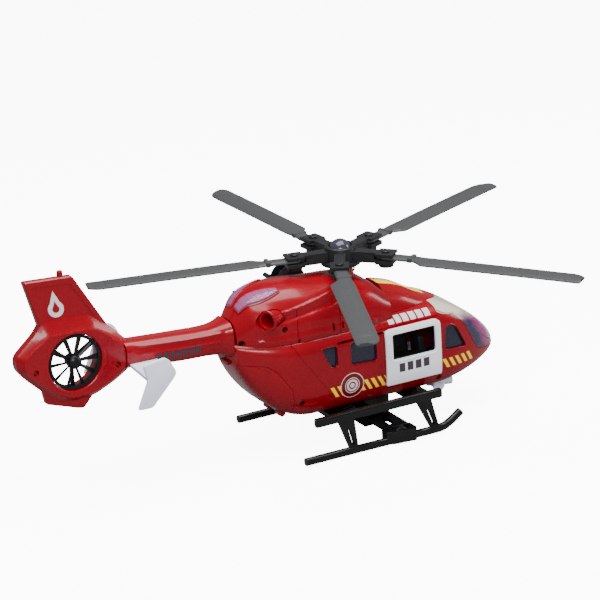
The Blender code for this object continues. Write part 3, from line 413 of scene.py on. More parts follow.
def hull_size(x):
    nose = share((x - NOSE_START) / (NOSE_TIP - NOSE_START))
    taper = share((TAPER_START - x) / (TAPER_START - TAPER_END))
    width = TAPER_HALF_WIDTH + (CABIN_HALF_WIDTH - TAPER_HALF_WIDTH) * (1 - taper ** 2) ** 0.8
    width *= (1 - nose ** 2) ** (2 / 3)
    bottom = CABIN_BOTTOM + (TAPER_BOTTOM - CABIN_BOTTOM) * (1 - (1 - taper ** 2) ** 0.75)
    bottom += (NOSE_TIP_BOTTOM - CABIN_BOTTOM) * nose ** 1.5
    top = NOSE_TIP_TOP + (CABIN_TOP - NOSE_TIP_TOP) * (1 - nose ** 1.5) ** 0.75
    return width, bottom, top


def hull_side(x, z):
    """Half width of the hull at x and z."""
    half, bottom, top = hull_size(x)
    middle, height = (bottom + top) / 2, (top - bottom) / 2
    shape = HULL_UPPER_POWER if z > middle else HULL_LOWER_POWER
    return half * max(0.0, 1 - abs((z - middle) / height) ** shape) ** (1 / shape)


def hull(
    name, offset=0.0, rear=HULL_REAR, front_share=0.998, ring=144, taper_steps=26, middle_steps=28,
    nose_steps=34
):
    last = (TAPER_START - rear) / (TAPER_START - TAPER_END)
    span = TAPER_START - TAPER_END
    stations = [TAPER_START - last * span * sin(pi / 2 * k / taper_steps) for k in range(taper_steps, 0, -1)]
    stations += [TAPER_START + (NOSE_START - TAPER_START) * k / middle_steps for k in range(middle_steps + 1)]
    length = NOSE_TIP - NOSE_START
    stations += [
        NOSE_START + length * front_share * sin(pi / 2 * k / nose_steps) for k in range(1, nose_steps + 1)
    ]
    rings = []
    for x in stations:
        width, bottom, top = hull_size(x)
        rings.append(
            section(
                x, width + offset, bottom - offset, top + offset, HULL_UPPER_POWER, HULL_LOWER_POWER, ring
            )
        )
    return loft(name, rings)


def deck_outline(grow):
    side = [(x, through(COWL_HALF_WIDTH, x)) for x, _ in COWL_HALF_WIDTH]
    stations = [COWL_FRONT + GAP + (FAIRING_TIP - COWL_FRONT - GAP) * k / 10 for k in range(11)]
    side += [(x + GAP, through(FAIRING_HALF_WIDTH, x)) for x in stations]
    return grown([(x, -y) for x, y in side] + [(x, y) for x, y in reversed(side)], grow)


def on_side(outline, offset):
    """Points of an XZ outline laid on the starboard flank."""
    return [(x, -hull_side(x, z) - offset, z) for x, z in spaced(outline, 1.5)]


def groove(name, run, width):
    """A band along an XZ run, through both flanks."""
    headings = [Vector(b) - Vector(a) for a, b in zip(run, run[1:])]
    headings.append(headings[-1])
    above, below = [], []
    for point, heading in zip(run, headings):
        side = Vector((-heading.y, heading.x)).normalized() * width / 2
        above.append(tuple(Vector(point) + side))
        below.append(tuple(Vector(point) - side))
    return side_prism(name, above + below[::-1], -60, 60)


def door_outline(inset=0.0):
    middle = (DOOR_SILL + DOOR_HEAD) / 2
    rear, front = DOOR_REAR + inset, DOOR_FRONT - inset
    sill, lintel = DOOR_SILL + inset, DOOR_HEAD - inset
    foot = rounded(((rear, middle), (rear, sill), (front, sill), (front, middle)), DOOR_FOOT_ROUND)
    head = rounded(((front, middle), (front, lintel), (rear, lintel), (rear, middle)), DOOR_TOP_ROUND)
    corner = len(foot) // 4
    return foot[corner:3 * corner] + head[corner:3 * corner]


def screw_well(name, x, z, side, surface):
    """A countersunk hole through a skin, and the dark screw at its bottom."""
    y = surface(x, z)
    screw = turned(
        name, (
            (2.15, -3.2), (2.15, -1.6), (1.7, -1.3), (0.6, -1.4)
        ), (x, side * (y - 0.9), z), (0, side, 0), 32
    )
    dress(screw, BLACK)
    return rod("well", (x, side * (y - 2.6), z), (x, side * (y + 3), z), 2.35, 40)


def make_hull():
    far = CABIN_HALF_WIDTH + 10
    shell = hull("fuselage_shell")
    cut(shell, side_prism("a", WINDSHIELD, -far, far), side_prism("b", HATCH, -far, far))
    cut(shell, plan_prism("c", deck_outline(GAP), DECK_Z - GAP, 120))
    seams = [
        (
            (-110, 101.5), (-74, 100.9), (-69.6, 98.8), (-63.4, 88.9), (-59.7, 81.7), (-46, 62.6),
            (-33.3, 43.6), (-26, 33), (-22, 20)
        ),
        ((-4, 99), (-4, 89), (14, 88.9), (66, 89.2)),
    ]
    for index, run in enumerate(seams):
        ribbon = groove(f"seam_{index}", run, 0.55)
        cut(ribbon, hull("seam_core", -0.55, HULL_REAR + 0.55, 0.96, 96, 14, 12, 14))
        cut(shell, ribbon)
    holes = [
        side_prism("h", door_outline(DOOR_FRAME), -far, far),
        side_prism("i", rounded(REAR_WINDOW, 3), -far, far),
        side_prism("j", rounded(MIDDLE_WINDOW, 3), -far, far),
        side_prism("k", rounded(COCKPIT_WINDOW, 3), -far, far),
        runner_slot(far),
        plan_prism("m", rounded(((-60, -15), (-38, -15), (-38, 15), (-60, 15)), 2), 0, 40),
    ]
    cut(shell, *holes)
    cut(shell, hull("core", -WALL, HULL_REAR + WALL, 0.94, 96, 18, 12, 20))
    for index, (x, z) in enumerate(((-59.9, 43.6), (64.8, 36.8))):
        for side, word in ((-1, "right"), (1, "left")):
            cut(shell, screw_well(f"shell_screw_{index + 1}_{word}", x, z, side, hull_side))
    dress(shell, RED_HULL, replaces=("fuselage_right", "fuselage_left"))
    return shell


def make_windshield():
    far = CABIN_HALF_WIDTH + 10
    pane = hull("windshield_pane")
    cut(pane, hull("pane_core", -1.5, HULL_REAR + 2, 0.95, 120, 10, 8, 30))
    keep(pane, side_prism("edge", grown(WINDSHIELD, -GAP), -far, far))
    cut(pane, plan_prism("deck_room", deck_outline(GAP), DECK_Z - 2 * GAP, 120))
    dress(pane, CLEAR_AND_PAINTED_LIGHT, replaces=("windshield",))
    edge = [
        (66.2, 92.5), (70.6, 89.8), (80.4, 87.0), (90.6, 76.3), (96.6, 65.3), (104.4, 51.8), (118.1, 47.2),
        (131.5, 44.9)
    ]
    rim = []
    for side in (-1, 1):
        run = [(x, side * (hull_side(x, z) - 0.35), z) for x, z in spaced(edge, 1.5)[:-36]]
        rim.append(tube("rim", run, 0.45, resolution=2))
    dress(merged("windshield_rim", rim), RED)


def wall_grid(name, outline, offset, thickness):
    """A curved pane or panel behind an XZ outline on the starboard flank."""
    xs = [x for x, _ in outline]
    zs = [z for _, z in outline]
    steps = 24
    rows = []
    for depth in (offset, offset + thickness):
        for i in range(steps + 1):
            x = min(xs) + (max(xs) - min(xs)) * i / steps
            for k in range(steps + 1):
                z = min(zs) + (max(zs) - min(zs)) * k / steps
                rows.append((x, -hull_side(x, z) + depth, z))
    side = (steps + 1) ** 2
    faces = []
    for i in range(steps):
        for k in range(steps):
            a = i * (steps + 1) + k
            faces.append((a, a + 1, a + steps + 2, a + steps + 1))
            faces.append((side + a, side + a + steps + 1, side + a + steps + 2, side + a + 1))
    ring = [k for k in range(steps + 1)] + [i * (steps + 1) + steps for i in range(1, steps + 1)]
    ring += [steps * (steps + 1) + k for k in range(steps - 1, -1, -1)] + [
        i * (steps + 1) for i in range(steps - 1, 0, -1)
    ]
    for a, b in zip(ring, ring[1:] + ring[:1]):
        faces.append((a, b, side + b, side + a))
    return new_object(name, mesh_of(name, rows, faces))


def runner_slot(far):
    low = (RUNNER[0][0] - DOOR_TRAVEL - RUNNER_PLAY, -far, RUNNER[0][2] - RUNNER_PLAY)
    return box("runner_slot", low, (RUNNER[1][0] + RUNNER_PLAY, far, RUNNER[1][2] + RUNNER_PLAY))


def make_side_windows():
    groups = (
        ("side_window", ((-45, 60), (-45, 90), (12, 90), (12, 60))),
        ("cockpit_window", ((65, 54), (65, 84), (94, 84), (94, 54)))
    )
    for name, outline in groups:
        pane = cut(wall_grid("smoked_" + name, outline, WALL + 0.35, 1.2), runner_slot(60))
        other = twin(pane, f"smoked_{name}_left")
        dress(pane, SMOKED, replaces=(name + "_right",))
        dress(other, SMOKED, replaces=(name + "_left",))
    trims = []
    for outline in (REAR_WINDOW, MIDDLE_WINDOW, COCKPIT_WINDOW):
        trims.append(tube("trim", on_side(rounded(outline, 3), -0.15), 0.42, True, 2))
    right = merged("window_beads_right", trims)
    left = twin(right, "window_beads_left")
    for obj in (right, left):
        dress(obj, RED)


def make_doors():
    far = CABIN_HALF_WIDTH + 10
    door = hull("sliding_door_right", DOOR_CLEARANCE + DOOR_THICKNESS, ring=220)
    cut(door, hull("door_back", DOOR_CLEARANCE, HULL_REAR, 0.99, 160, 8, 20, 20))
    keep(door, side_prism("shape", door_outline(), -far, -19))
    cut(door, side_prism("hole", rounded(DOOR_WINDOW, 2), -far, -5))
    bevelled(tidy_mesh(door, 0.3), 0.45, 3, 40)
    runner = box("runner", *RUNNER)
    lip = tube(
        "lip", [(x, -hull_side(x, z) - 2.45, z) for x, z in spaced(rounded(grown(DOOR_WINDOW, 1.6), 3), 2)],
        0.5, True, 2
    )
    grip = side_prism(
        "grip", rounded(((17.2, 66), (19.0, 66), (19.0, 78), (17.2, 78)), 0.8), -CABIN_HALF_WIDTH - 3.2,
        -CABIN_HALF_WIDTH - 2.2
    )
    right = merged("sliding_door_right_full", [door, runner, lip, grip])
    left = twin(right, "sliding_door_left_full")
    dress(right, WHITE_DOOR, "door_right", 30, ("door_right",))
    dress(left, WHITE_DOOR, "door_left", 30, ("door_left",))


def make_hatch():
    far = CABIN_HALF_WIDTH + 10
    panel = hull("hatch_panel")
    keep(panel, side_prism("edge", grown(HATCH, -GAP), -far, far))
    cut(panel, hull("core", -WALL, HULL_REAR + WALL, 0.94, 96, 18, 12, 20))
    bevelled(tidy_mesh(panel, 0.2), 0.35, 2, 45)
    knuckles = [rod("knuckle", (-66.3, s * 6.1, 29.8), (-66.3, s * 13.2, 29.8), 3.0, 32) for s in (-1, 1)]
    pull = box("pull", (-108.5, -6, 77.6), (-104.5, 6, 80))
    hatch = merged("hatch_panel_full", [panel, *knuckles, pull])
    dress(hatch, RED, "hatch", 32, ("rear_hatch",))


# Upper decks

def arch(crest, half, exponent, x, inset, base, steps, shape=None):
    width = through(half, x) - inset
    height = through(crest, x) - inset - base
    ring = []
    for k in range(steps + 1):
        angle = pi * k / steps
        y = width * power(cos(angle), 2 / exponent)
        z = base + height * sin(angle) ** (2 / exponent)
        push = shape(x, abs(y), z) if shape else 0.0
        scale = 1 + push / max(12.0, (y * y + (z - base) ** 2) ** 0.5)
        ring.append((x, y * scale, base + (z - base) * scale))
    return ring


def cowl_relief(x, y, z):
    """Outward swell of the cowling: the long scoop, its lip, the shoulder ledge and the exhaust's boss."""
    line = 113.5 + 0.13 * (x + 70)
    along = share((x + 78) / 10) * share((-14 - x) / 12)
    scoop = -1.7 * bell(z - line, 4.2) * along
    lip = 0.9 * bell(z - line - 4.6, 2.2) * along
    ledge = 1.1 * bell(z - 97.5, 2.6) * share((x + 100) / 12) * share((20 - x) / 10)
    boss = 2.6 * bell(x + 82, 15) * bell(z - 113.5, 13)
    return scoop + lip + ledge + boss


def cowl_arch(x, inset, base, steps, shape=None):
    return arch(COWL_CREST, COWL_HALF_WIDTH, COWL_POWER, x, inset, base, steps, shape)


def fairing_arch(x, inset, base, steps, shape=None):
    return arch(FAIRING_CREST, FAIRING_HALF_WIDTH, FAIRING_POWER, x, inset, base, steps, shape)


def make_cowling():
    count, ring = 96, 100
    span = COWL_FRONT - COWL_REAR
    stations = [COWL_REAR + span * k / count for k in range(count + 1)]
    cowl = loft("cowling_skin", [cowl_arch(x, 0, DECK_Z, ring, cowl_relief) for x in stations])
    inside = [COWL_REAR + 3 + (span - 6) * k / 30 for k in range(31)]
    cut(cowl, loft("room", [cowl_arch(x, 3.0, DECK_Z - 1, 40) for x in inside]))
    tools = [rod("collar_room", (0, 0, 100), (0, 0, 150), 10.3)]
    for side in (-1, 1):
        tools.append(
            box("intake", (20, min(side * 12, side * 23), 98), (40, max(side * 12, side * 23), 105.5))
        )
        tools.append(exhaust_rod("nozzle", side, -14, 15, 7.7))
        tools.append(lens_shape("bed", side, 0.0))
        for x, low, high in ((-57.8, 90.5, 96), (-27.3, 96.2, 102.5), (-19.2, 97.0, 102.0)):
            near, far = sorted((side * 29, side * 40))
            tools.append(box("louvre", (x - 0.8, near, low), (x + 0.8, far, high)))
    for tool in tools:
        cut(cowl, tool)
    seams = (((-57.0, 120), (-58.2, 108), (-59.4, 92)), ((-19.4, 126), (-20.6, 108), (-22, 92)))
    for index, run in enumerate(seams):
        ribbon = groove("line", run, 0.5)
        cut(ribbon, loft("keep_out", [cowl_arch(x, 0.6, DECK_Z - 1, 60, cowl_relief) for x in stations[::3]]))
        cut(cowl, ribbon)
    for index, (x, z) in enumerate(((-69.1, 105.8), (-101.0, 97.5))):
        for side, word in ((-1, "right"), (1, "left")):
            cut(cowl, screw_well(f"cowl_screw_{index + 1}_{word}", x, z, side, cowl_side))
    dress(cowl, RED, replaces=("engine_cowling",))


def cowl_height(x, y):
    width = through(COWL_HALF_WIDTH, x)
    height = through(COWL_CREST, x) - DECK_Z
    return DECK_Z + height * max(0, 1 - abs(y / width) ** COWL_POWER) ** (1 / COWL_POWER)


def cowl_side(x, z):
    """Half width of the cowling at x and z."""
    width = through(COWL_HALF_WIDTH, x)
    height = through(COWL_CREST, x) - DECK_Z
    return width * max(0, 1 - ((z - DECK_Z) / height) ** COWL_POWER) ** (1 / COWL_POWER)


def lens_shape(name, side, inset, low=None):
    """The light bar let into the cowling's rear shoulder."""
    inner = [(x, y) for x, y, _ in LENS_EDGES]
    outer = [(x, y) for x, _, y in LENS_EDGES]
    rear, front = LENS_EDGES[0][0] + inset, LENS_EDGES[-1][0] - inset
    rings = []
    for k in range(25):
        x = rear + (front - rear) * k / 24
        near, far = through(inner, x) + inset, through(outer, x) - inset
        bottom = inset - LENS_BED if low is None else low
        ys = [near + (far - near) * i / 8 for i in range(9)]
        ring = [(x, side * y, cowl_height(x, y) + bottom) for y in ys]
        ring += [(x, side * y, cowl_height(x, y) + LENS_RISE - max(0, inset - GAP)) for y in reversed(ys)]
        rings.append(ring)
    return loft(name, rings)


def exhaust_rod(name, side, near, far, radius):
    middle = Vector((EXHAUST[0], side * EXHAUST[1], EXHAUST[2]))
    along = Vector((EXHAUST_AXIS[0], side * EXHAUST_AXIS[1], 0)).normalized()
    return rod(name, middle + along * near, middle + along * far, radius, 48)


def make_lenses():
    for side, word in ((-1, "right"), (1, "left")):
        core = lens_shape("lens_core_" + word, side, 1.2, -0.7)
        cover = lens_shape("lens_cover_" + word, side, GAP)
        cut(cover, lens_shape("hollow", side, 1.0, -0.8))
        for k in range(5):
            x = -95.5 + 5.6 * k
            rib = box("rib", (x - 0.3, -30, 100), (x + 0.3, 30, 150))
            cut(rib, lens_shape("keep", side, 0.75, -3))
            cut(cover, rib)
        bevelled(tidy_mesh(cover, 0.5), 0.35, 2, 50)
        dress(core, VIOLET)
        dress(cover, LENS, replaces=("lens_" + word,))
        xs = [LENS_EDGES[0][0] + (LENS_EDGES[-1][0] - LENS_EDGES[0][0]) * k / 24 for k in range(25)]
        inner, outer = [(x, y) for x, y, _ in LENS_EDGES], [(x, y) for x, _, y in LENS_EDGES]
        path = [(x, through(outer, x) + 0.5) for x in xs] + [
            (x, through(inner, x) - 0.5) for x in reversed(xs)
        ]
        bead = tube(
            "lens_bezel_" + word, [(x, side * y, cowl_height(x, y) + 0.2) for x, y in path], 0.75, True, 3
        )
        dress(bead, RED)


def make_fairing():
    count, ring = 48, 64
    span = FAIRING_TIP - COWL_FRONT - GAP
    stations = [COWL_FRONT + GAP + span * k / count for k in range(count + 1)]

    def relief(x, y, z):
        ridge = 0.9 * bell(y - 8.5, 2.2) * share((66 - x) / 12)
        return ridge - 0.5 * bell(y - 13.5, 2.4) * share((60 - x) / 10)

    fairing = loft("fairing_skin", [fairing_arch(x, 0, DECK_Z, ring, relief) for x in stations])
    inside = [COWL_FRONT + 2.3 + (span - 16) * k / 16 for k in range(17)]
    cut(fairing, loft("room", [fairing_arch(x, 3.0, DECK_Z - 1, 32) for x in inside]))
    for side in (-1, 1):
        cut(fairing, rod("hole", (50, side * 24, 112), (50, side * 17.5, 104), 2.2, 28))
    dress(fairing, RED_CREST, replaces=("roof_fairing",))


def make_exhausts():
    for side, word in ((-1, "right"), (1, "left")):
        axis = Vector((EXHAUST_AXIS[0], side * EXHAUST_AXIS[1], 0))
        profile = (
            (7.2, -9), (7.2, 4.6), (7.8, 6.0), (8.6, 7.4), (8.7, 8.0), (8.3, 8.6), (6.8, 8.8), (5.8, 8.3),
            (5.2, 7.2), (4.8, 4.0), (4.6, -4), (0.5, -4.5),
        )
        pipe = turned("exhaust_pipe_" + word, profile, (EXHAUST[0], side * EXHAUST[1], EXHAUST[2]), axis, 72)
        dress(pipe, RED, replaces=("exhaust_" + word,))


# Rotor

def make_mast():
    collar = turned(
        "mast_base",
        ((10.0, 118), (10.0, 128), (9.9, 129.2), (9.4, 131), (8.9, 136.4), (8.4, 137), (3.5, 137)),
        (0, 0, 0), (0, 0, 1)
    )
    eye = tube(
        "eye",
        [(9.6 + 2.1 * cos(a), 0, 130.6 + 2.1 * sin(a)) for a in [2 * pi * k / 24 for k in range(24)]], 0.75,
        True, 3
    )
    dress(merged("mast_base_full", [collar, eye]), RED, replaces=("mast_collar",))


def make_hub():
    refined("rotor_hub", "rotor_head", SATIN, "rotor", 0.7, 3)
    dome = [(8.7, 145.5)] + [
        (8.75 * cos(radians(4.5 * k)), 148.8 + 8.75 * sin(radians(4.5 * k))) for k in range(20)
    ]
    dress(
        turned("rotor_dome", dome, (0, 0, 0), (0, 0, 1), 96), DOME, "rotor", 50, ("hub_cap",)
    )
    ring = turned(
        "rotor_ring",
        ((9.3, 150.8), (9.3, 152.1), (9.8, 152.6), (11.6, 152.5), (12.3, 151.9), (12.5, 150.9)), (0, 0, 0),
        (0, 0, 1), 96
    )
    dress(ring, SATIN, "rotor")
    for index in range(BLADES):
        name = f"blade_screw_{index + 1}"
        refined(name, f"pivot_screw_{index + 1}", SATIN_LIGHT, "rotor", 0.18, 2)


def blade_edges(s):
    root = 5.6
    if s < 0:
        reach = max(0.3, root ** 2 - s ** 2) ** 0.5
        return -reach, reach
    step = share((s - 24) / 11)
    step = step * step * (3 - 2 * step)
    low = -root - 6.9 * step
    tip = share((s - BLADE_LENGTH + 14) / 14)
    high = root + 0.8 * step - 11.6 * (1 - (1 - tip ** 2) ** 0.5)
    low += 3.4 * (1 - (1 - share((s - BLADE_LENGTH + 5) / 4.4) ** 2) ** 0.5)
    return low, high


def blade_ring(s, thickness_scale=1.0):
    low, high = blade_edges(s)
    sag = BLADE_DROOP * share(s / BLADE_LENGTH) ** 1.5
    bottom = BLADE_Z - BLADE_THICKNESS / 2 - sag
    upper = []
    steps = 12
    wing = share((s - 22) / 10)
    for k in range(steps + 1):
        t = k / steps
        camber = sin(pi * t) ** 0.7 * wing + (1 - wing) * min(1.0, min(t, 1 - t) * 9)
        height = BLADE_THICKNESS * (0.42 + 0.58 * camber) * thickness_scale
        upper.append((s, high + (low - high) * t, bottom + height))
    return [
        (s, low, bottom + 0.25), (s, low + 0.4, bottom), (s, high - 0.4, bottom), (s, high, bottom + 0.25)
    ] + upper


def make_blade(index):
    body = f"blade_{index + 1}"
    stations = [-5.5, -5.2, -4.6, -3.8, -2.6, -1, 0, 6, 12, 18, 22] + [24 + 1.1 * k for k in range(11)]
    stations += [38 + 7.6 * k for k in range(15)] + [
        148, 151.3, 151.6, 152.0, 152.3, 154, 156, 158, 160, 161.5
    ]
    stations += [163, 163.8, 164.4, 164.9, BLADE_TIP]
    wing = loft("wing", [blade_ring(s, 0.93 if 151.5 < s < 152.2 else 1.0) for s in sorted(stations)])
    band = []
    for s, grow in ((20.2, 0.0), (20.4, 0.35), (23.6, 0.35), (23.8, 0.0)):
        half = 5.6 + grow
        low = BLADE_Z - BLADE_THICKNESS / 2 - grow * 0.6 - 0.15
        high = BLADE_Z + BLADE_THICKNESS / 2 + grow + 0.1
        band.append([(s, -half, low), (s, half, low), (s, half, high), (s, -half, high)])
    cuff = loft("cuff", band)
    blade = merged(f"rotor_blade_{index + 1}", [wing, cuff])
    angle = radians(ARM_PHASE + index * 360 / BLADES)
    turn = Matrix.Rotation(angle, 4, "Z") @ Matrix.Translation((SCREW_RADIUS * MM, 0, 0)) @ Matrix.Rotation(
        radians(BLADE_FOLD[index]), 4, "Z"
    )
    blade.data.transform(Matrix.Translation(-ORIGIN))
    blade.data.transform(turn)
    blade.data.transform(Matrix.Translation(ORIGIN))
    spot = Vector((SCREW_RADIUS * cos(angle), SCREW_RADIUS * sin(angle), 0))
    cut(blade, rod("hole", (spot.x, spot.y, 130), (spot.x, spot.y, 160), 2.0, 32))
    dress(blade, BLADE, body, 40, (body,))


# Tail

def boom_rings(inset, front, ring, count):
    rings = []
    start = BOOM_REAR + 2 * inset
    for k in range(count + 1):
        x = start + (front - start) * k / count
        half = through(BOOM_HALF_WIDTH, x) - inset
        bottom = through(BOOM_BELLY, x) + inset
        top = through(BOOM_BACK, x) - inset
        points = section(x, half, bottom, top, 3, 3, ring)
        if inset == 0:
            shaped = []
            for px, y, z in points:
                middle = (bottom + top) / 2
                rail = 0.9 * (
                    bell(z - (middle + 7.4), 1.5) + bell(z - (middle + 1.2), 1.5)
                ) * share((x + 190) / 6) * share((-112 - x) / 5)
                scale = 1 + rail / max(4.0, abs(y))
                shaped.append((px, y * scale if abs(y) > 5 else y, z))
            points = shaped
        rings.append(points)
    return rings


def tail_plate(name, outline, radius, half, face=None):
    """A plate with rounded edges; face is the outline of its flat sides where they slope further in."""
    face = face or grown(outline, -half * 0.25)
    layers = []
    for depth, mix in ((0.0, 1.0), (0.12, 0.93), (0.5, 0.62), (1.0, 0.0)):
        y = half - depth * (half - 3.4 if half > 5 else half * 0.4)
        ring = [tuple(Vector(a).lerp(Vector(b), mix)) for a, b in zip(outline, face)]
        layers.append((y, rounded(ring, radius, 8)))
    layers = [(-y, ring) for y, ring in layers] + [(y, ring) for y, ring in reversed(layers)]
    return loft(name, [[(x, y, z) for x, z in ring] for y, ring in layers])


def make_tail():
    boom = loft("boom", boom_rings(0, BOOM_FRONT, 96, 60))
    cut(boom, loft("room", boom_rings(2.2, BOOM_FRONT + 1, 48, 20)))
    cut(boom, box("slot", (-194, -60, 95.7), (-168, 60, 99.3)))
    plate = tail_plate("plate", RING_PLATE, 6.0, TAIL_HALF, RING_FACE)
    cut(plate, rod("duct", (FAN_X, -40, FAN_Z), (FAN_X, 40, FAN_Z), DUCT_RADIUS + 1.5, 96))
    lip = turned(
        "lip",
        (
            (25.4, -8.0), (25.2, -8.55), (24.4, -8.75), (23.4, -8.6), (22.7, -8.1), (22.4, -7.2), (22.4, 7.2),
            (22.7, 8.1),
            (23.4, 8.6), (24.4, 8.75), (25.2, 8.55), (25.4, 8.0), (25.4, -8.0),
        ),
        (FAN_X, 0, FAN_Z), (0, 1, 0), 120,
    )
    bm = bmesh.new()
    bm.from_mesh(lip.data)
    bmesh.ops.delete(bm, geom=[face for face in bm.faces if len(face.verts) > 10], context="FACES")
    bmesh.ops.remove_doubles(bm, verts=bm.verts, dist=0.000001)
    bmesh.ops.recalc_face_normals(bm, faces=bm.faces)
    bm.to_mesh(lip.data)
    bm.free()
    fins = [tail_plate("fin", FIN, 2.0, 3.6), tail_plate("under", BELLY_FIN, 2.0, 3.0)]
    for fin in fins:
        cut(fin, rod("duct", (FAN_X, -40, FAN_Z), (FAN_X, 40, FAN_Z), DUCT_RADIUS + 1.5, 96))
    panel = rounded(((-213, 135), (-236.5, 173), (-270, 175.5), (-261, 146), (-240, 140)), 2)
    for side in (-1, 1):
        cut(fins[0], side_prism("panel", panel, side * 3.15, side * 6))
    for x, z in ((-272, 109), (-203, 100.6)):
        cut(
            plate, rod("hole", (x, -12, z), (x, -5.5, z), 2.3, 28),
            rod("hole2", (x, 12, z), (x, 5.5, z), 2.3, 28)
        )
    tail = merged("tail_shell", [boom, plate, lip, *fins])
    dress(tail, RED_TAIL, replaces=("tail_right", "tail_left"))
    beacon = turned(
        "tail_lamp", ((2.4, 179.6), (2.4, 182.6), (2.1, 183.2), (1.4, 183.45), (0.3, 183.5)), (-243, 0, 0),
        (0, 0, 1), 40
    )
    dress(beacon, RED, replaces=("tail_beacon",))
    refined("stabiliser", "winglets", LILAC, "airframe", 0.6, 3)
    for side, word in ((-1, "right"), (1, "left")):
        oval = [
            (-186.7 + 4.6 * cos(pi * k / 12), side * 47.1, 99.7 + 1.9 * sin(pi * k / 12)) for k in range(24)
        ]
        dress(tube("winglet_eye_" + word, oval, 0.5, True, 2), LILAC)


def make_fan():
    axis = (FAN_X, FAN_Y, FAN_Z)
    dome = ((0.4, 5.5), (1.6, 5.4), (3.2, 4.9), (4.6, 4.1), (5.4, 3.2), (5.6, 2.4), (5.6, -2.4))
    parts = [turned("hub", dome, axis, (0, -1, 0), 48)]
    outer, inner = DUCT_RADIUS - 0.6, DUCT_RADIUS - 2.8
    for k in range(FAN_BLADES):
        rings = []
        for radius, half, pitch in ((4.4, 1.3, 34), (9, 1.5, 30), (14, 1.7, 26), (outer - 1, 2.0, 22)):
            tilt = radians(pitch)
            spots = [(half * cos(2 * pi * i / 10), 0.45 * sin(2 * pi * i / 10)) for i in range(10)]
            rings.append(
                [(radius, u * sin(tilt) - v * cos(tilt), u * cos(tilt) + v * sin(tilt)) for u, v in spots]
            )
        turn = Matrix.Rotation(2 * pi * k / FAN_BLADES, 3, "Y")
        placed = [[tuple(Vector(axis) + turn @ Vector(point)) for point in ring] for ring in rings]
        parts.append(loft("fan_blade", placed))
    ring = rod("ring", (FAN_X, FAN_Y - 3, FAN_Z), (FAN_X, FAN_Y + 2, FAN_Z), outer, 96)
    cut(ring, rod("bore", (FAN_X, FAN_Y - 9, FAN_Z), (FAN_X, FAN_Y + 9, FAN_Z), inner, 96))
    parts.append(bevelled(tidy_mesh(ring), 0.4, 2))
    dress(merged("fan_rotor", parts), BLACK, "tail_rotor", 35, ("tail_fan",))
    refined("fan_bracket", "fan_mount", BLACK, "airframe", 0.3)


# Underside, hoist and cabin

def make_undercarriage():
    for word in ("right", "left"):
        refined("skid_" + word, "landing_skid_" + word, GLOSS_BLACK, "airframe", 0.5, 3)
        refined("wheel_" + word, "rolling_wheel_" + word, BLACK, "wheels", 0.25)
    for word in ("front", "rear"):
        refined("cross_beam_" + word, word + "_beam", GLOSS_BLACK, "airframe", 0.6, 3)
    refined("drive_box", "gear_box", BLACK, "airframe", 0.5)
    refined("drive_axle", "axle_bar", STEEL, "wheels", 0.2)


def make_hoist():
    x, y, z = HOIST
    profile = (
        (0.5, 0), (11.6, 0), (12.5, -0.3), (12.5, -1.7), (12.1, -2.1), (7.2, -2.6), (7.0, -3.0), (7.0, -10.0),
        (7.2, -10.5), (12.1, -11.0), (12.5, -11.4), (12.5, -12.6), (12.0, -13.0), (9.0, -13.0), (8.4, -12.4),
        (4.0, -12.4), (3.4, -13.0), (0.5, -13.0),
    )
    drum = turned("drum", profile, HOIST, (0, -1, 0), 96)
    crank_y = y + 13.5 + 5.4
    arm = side_prism(
        "arm", rounded(((x - 12, z - 2), (x + 2.5, z - 2), (x + 2.5, z + 2), (x - 12, z + 2)), 1.9),
        crank_y - 2, crank_y
    )
    parts = [
        drum, rod("shaft", (x, y + 12.5, z), (x, crank_y, z), 2.2), bevelled(arm, 0.3),
        rod("grip", (x - 10, crank_y - 1, z), (x - 10, crank_y + 7, z), 2.0)
    ]
    dress(merged("winch_drum", parts), HOIST_BLACK, "hoist", 35, ("hoist_drum",))
    refined("hoist_bracket", "winch_bracket", BLACK, "airframe", 0.4)


def make_small_pieces():
    refined("lamp_mount", "lamp_fork", LILAC, "airframe", 0.35)
    refined("search_lamp", "lamp_head", LILAC, "lamp", 0.3)
    refined("battery_cover", "battery_lid", BLACK, "airframe", 0.3)
    for word in ("right", "left"):
        refined("seat_" + word, "pilot_seat_" + word, SEAT, "airframe", 1.2, 3)
    refined("stretcher", "cabin_stretcher", CABIN, "airframe", 0.6, 3)
    refined("dashboard", "cockpit_dash", VIOLET, "airframe", 0.6, 2)
    refined("control_wheel", "yoke", PALE, "airframe", 0.3, 2)
    refined("sound_box", "electronics_box", CABIN, "airframe", 0.5)
    refined("cabin_floor", "cabin_deck", CABIN, "airframe", 0.3)


def paint_nodes():
    finishes = {
        "hatch_pin": STEEL, "battery_box": CABIN, "circuit_board": BOARD, "speaker": STEEL,
        "rotor_shaft": STEEL,
    }
    for node, material in finishes.items():
        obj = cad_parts[node]
        obj.data.materials.clear()
        obj.data.materials.append(material)


# Materials

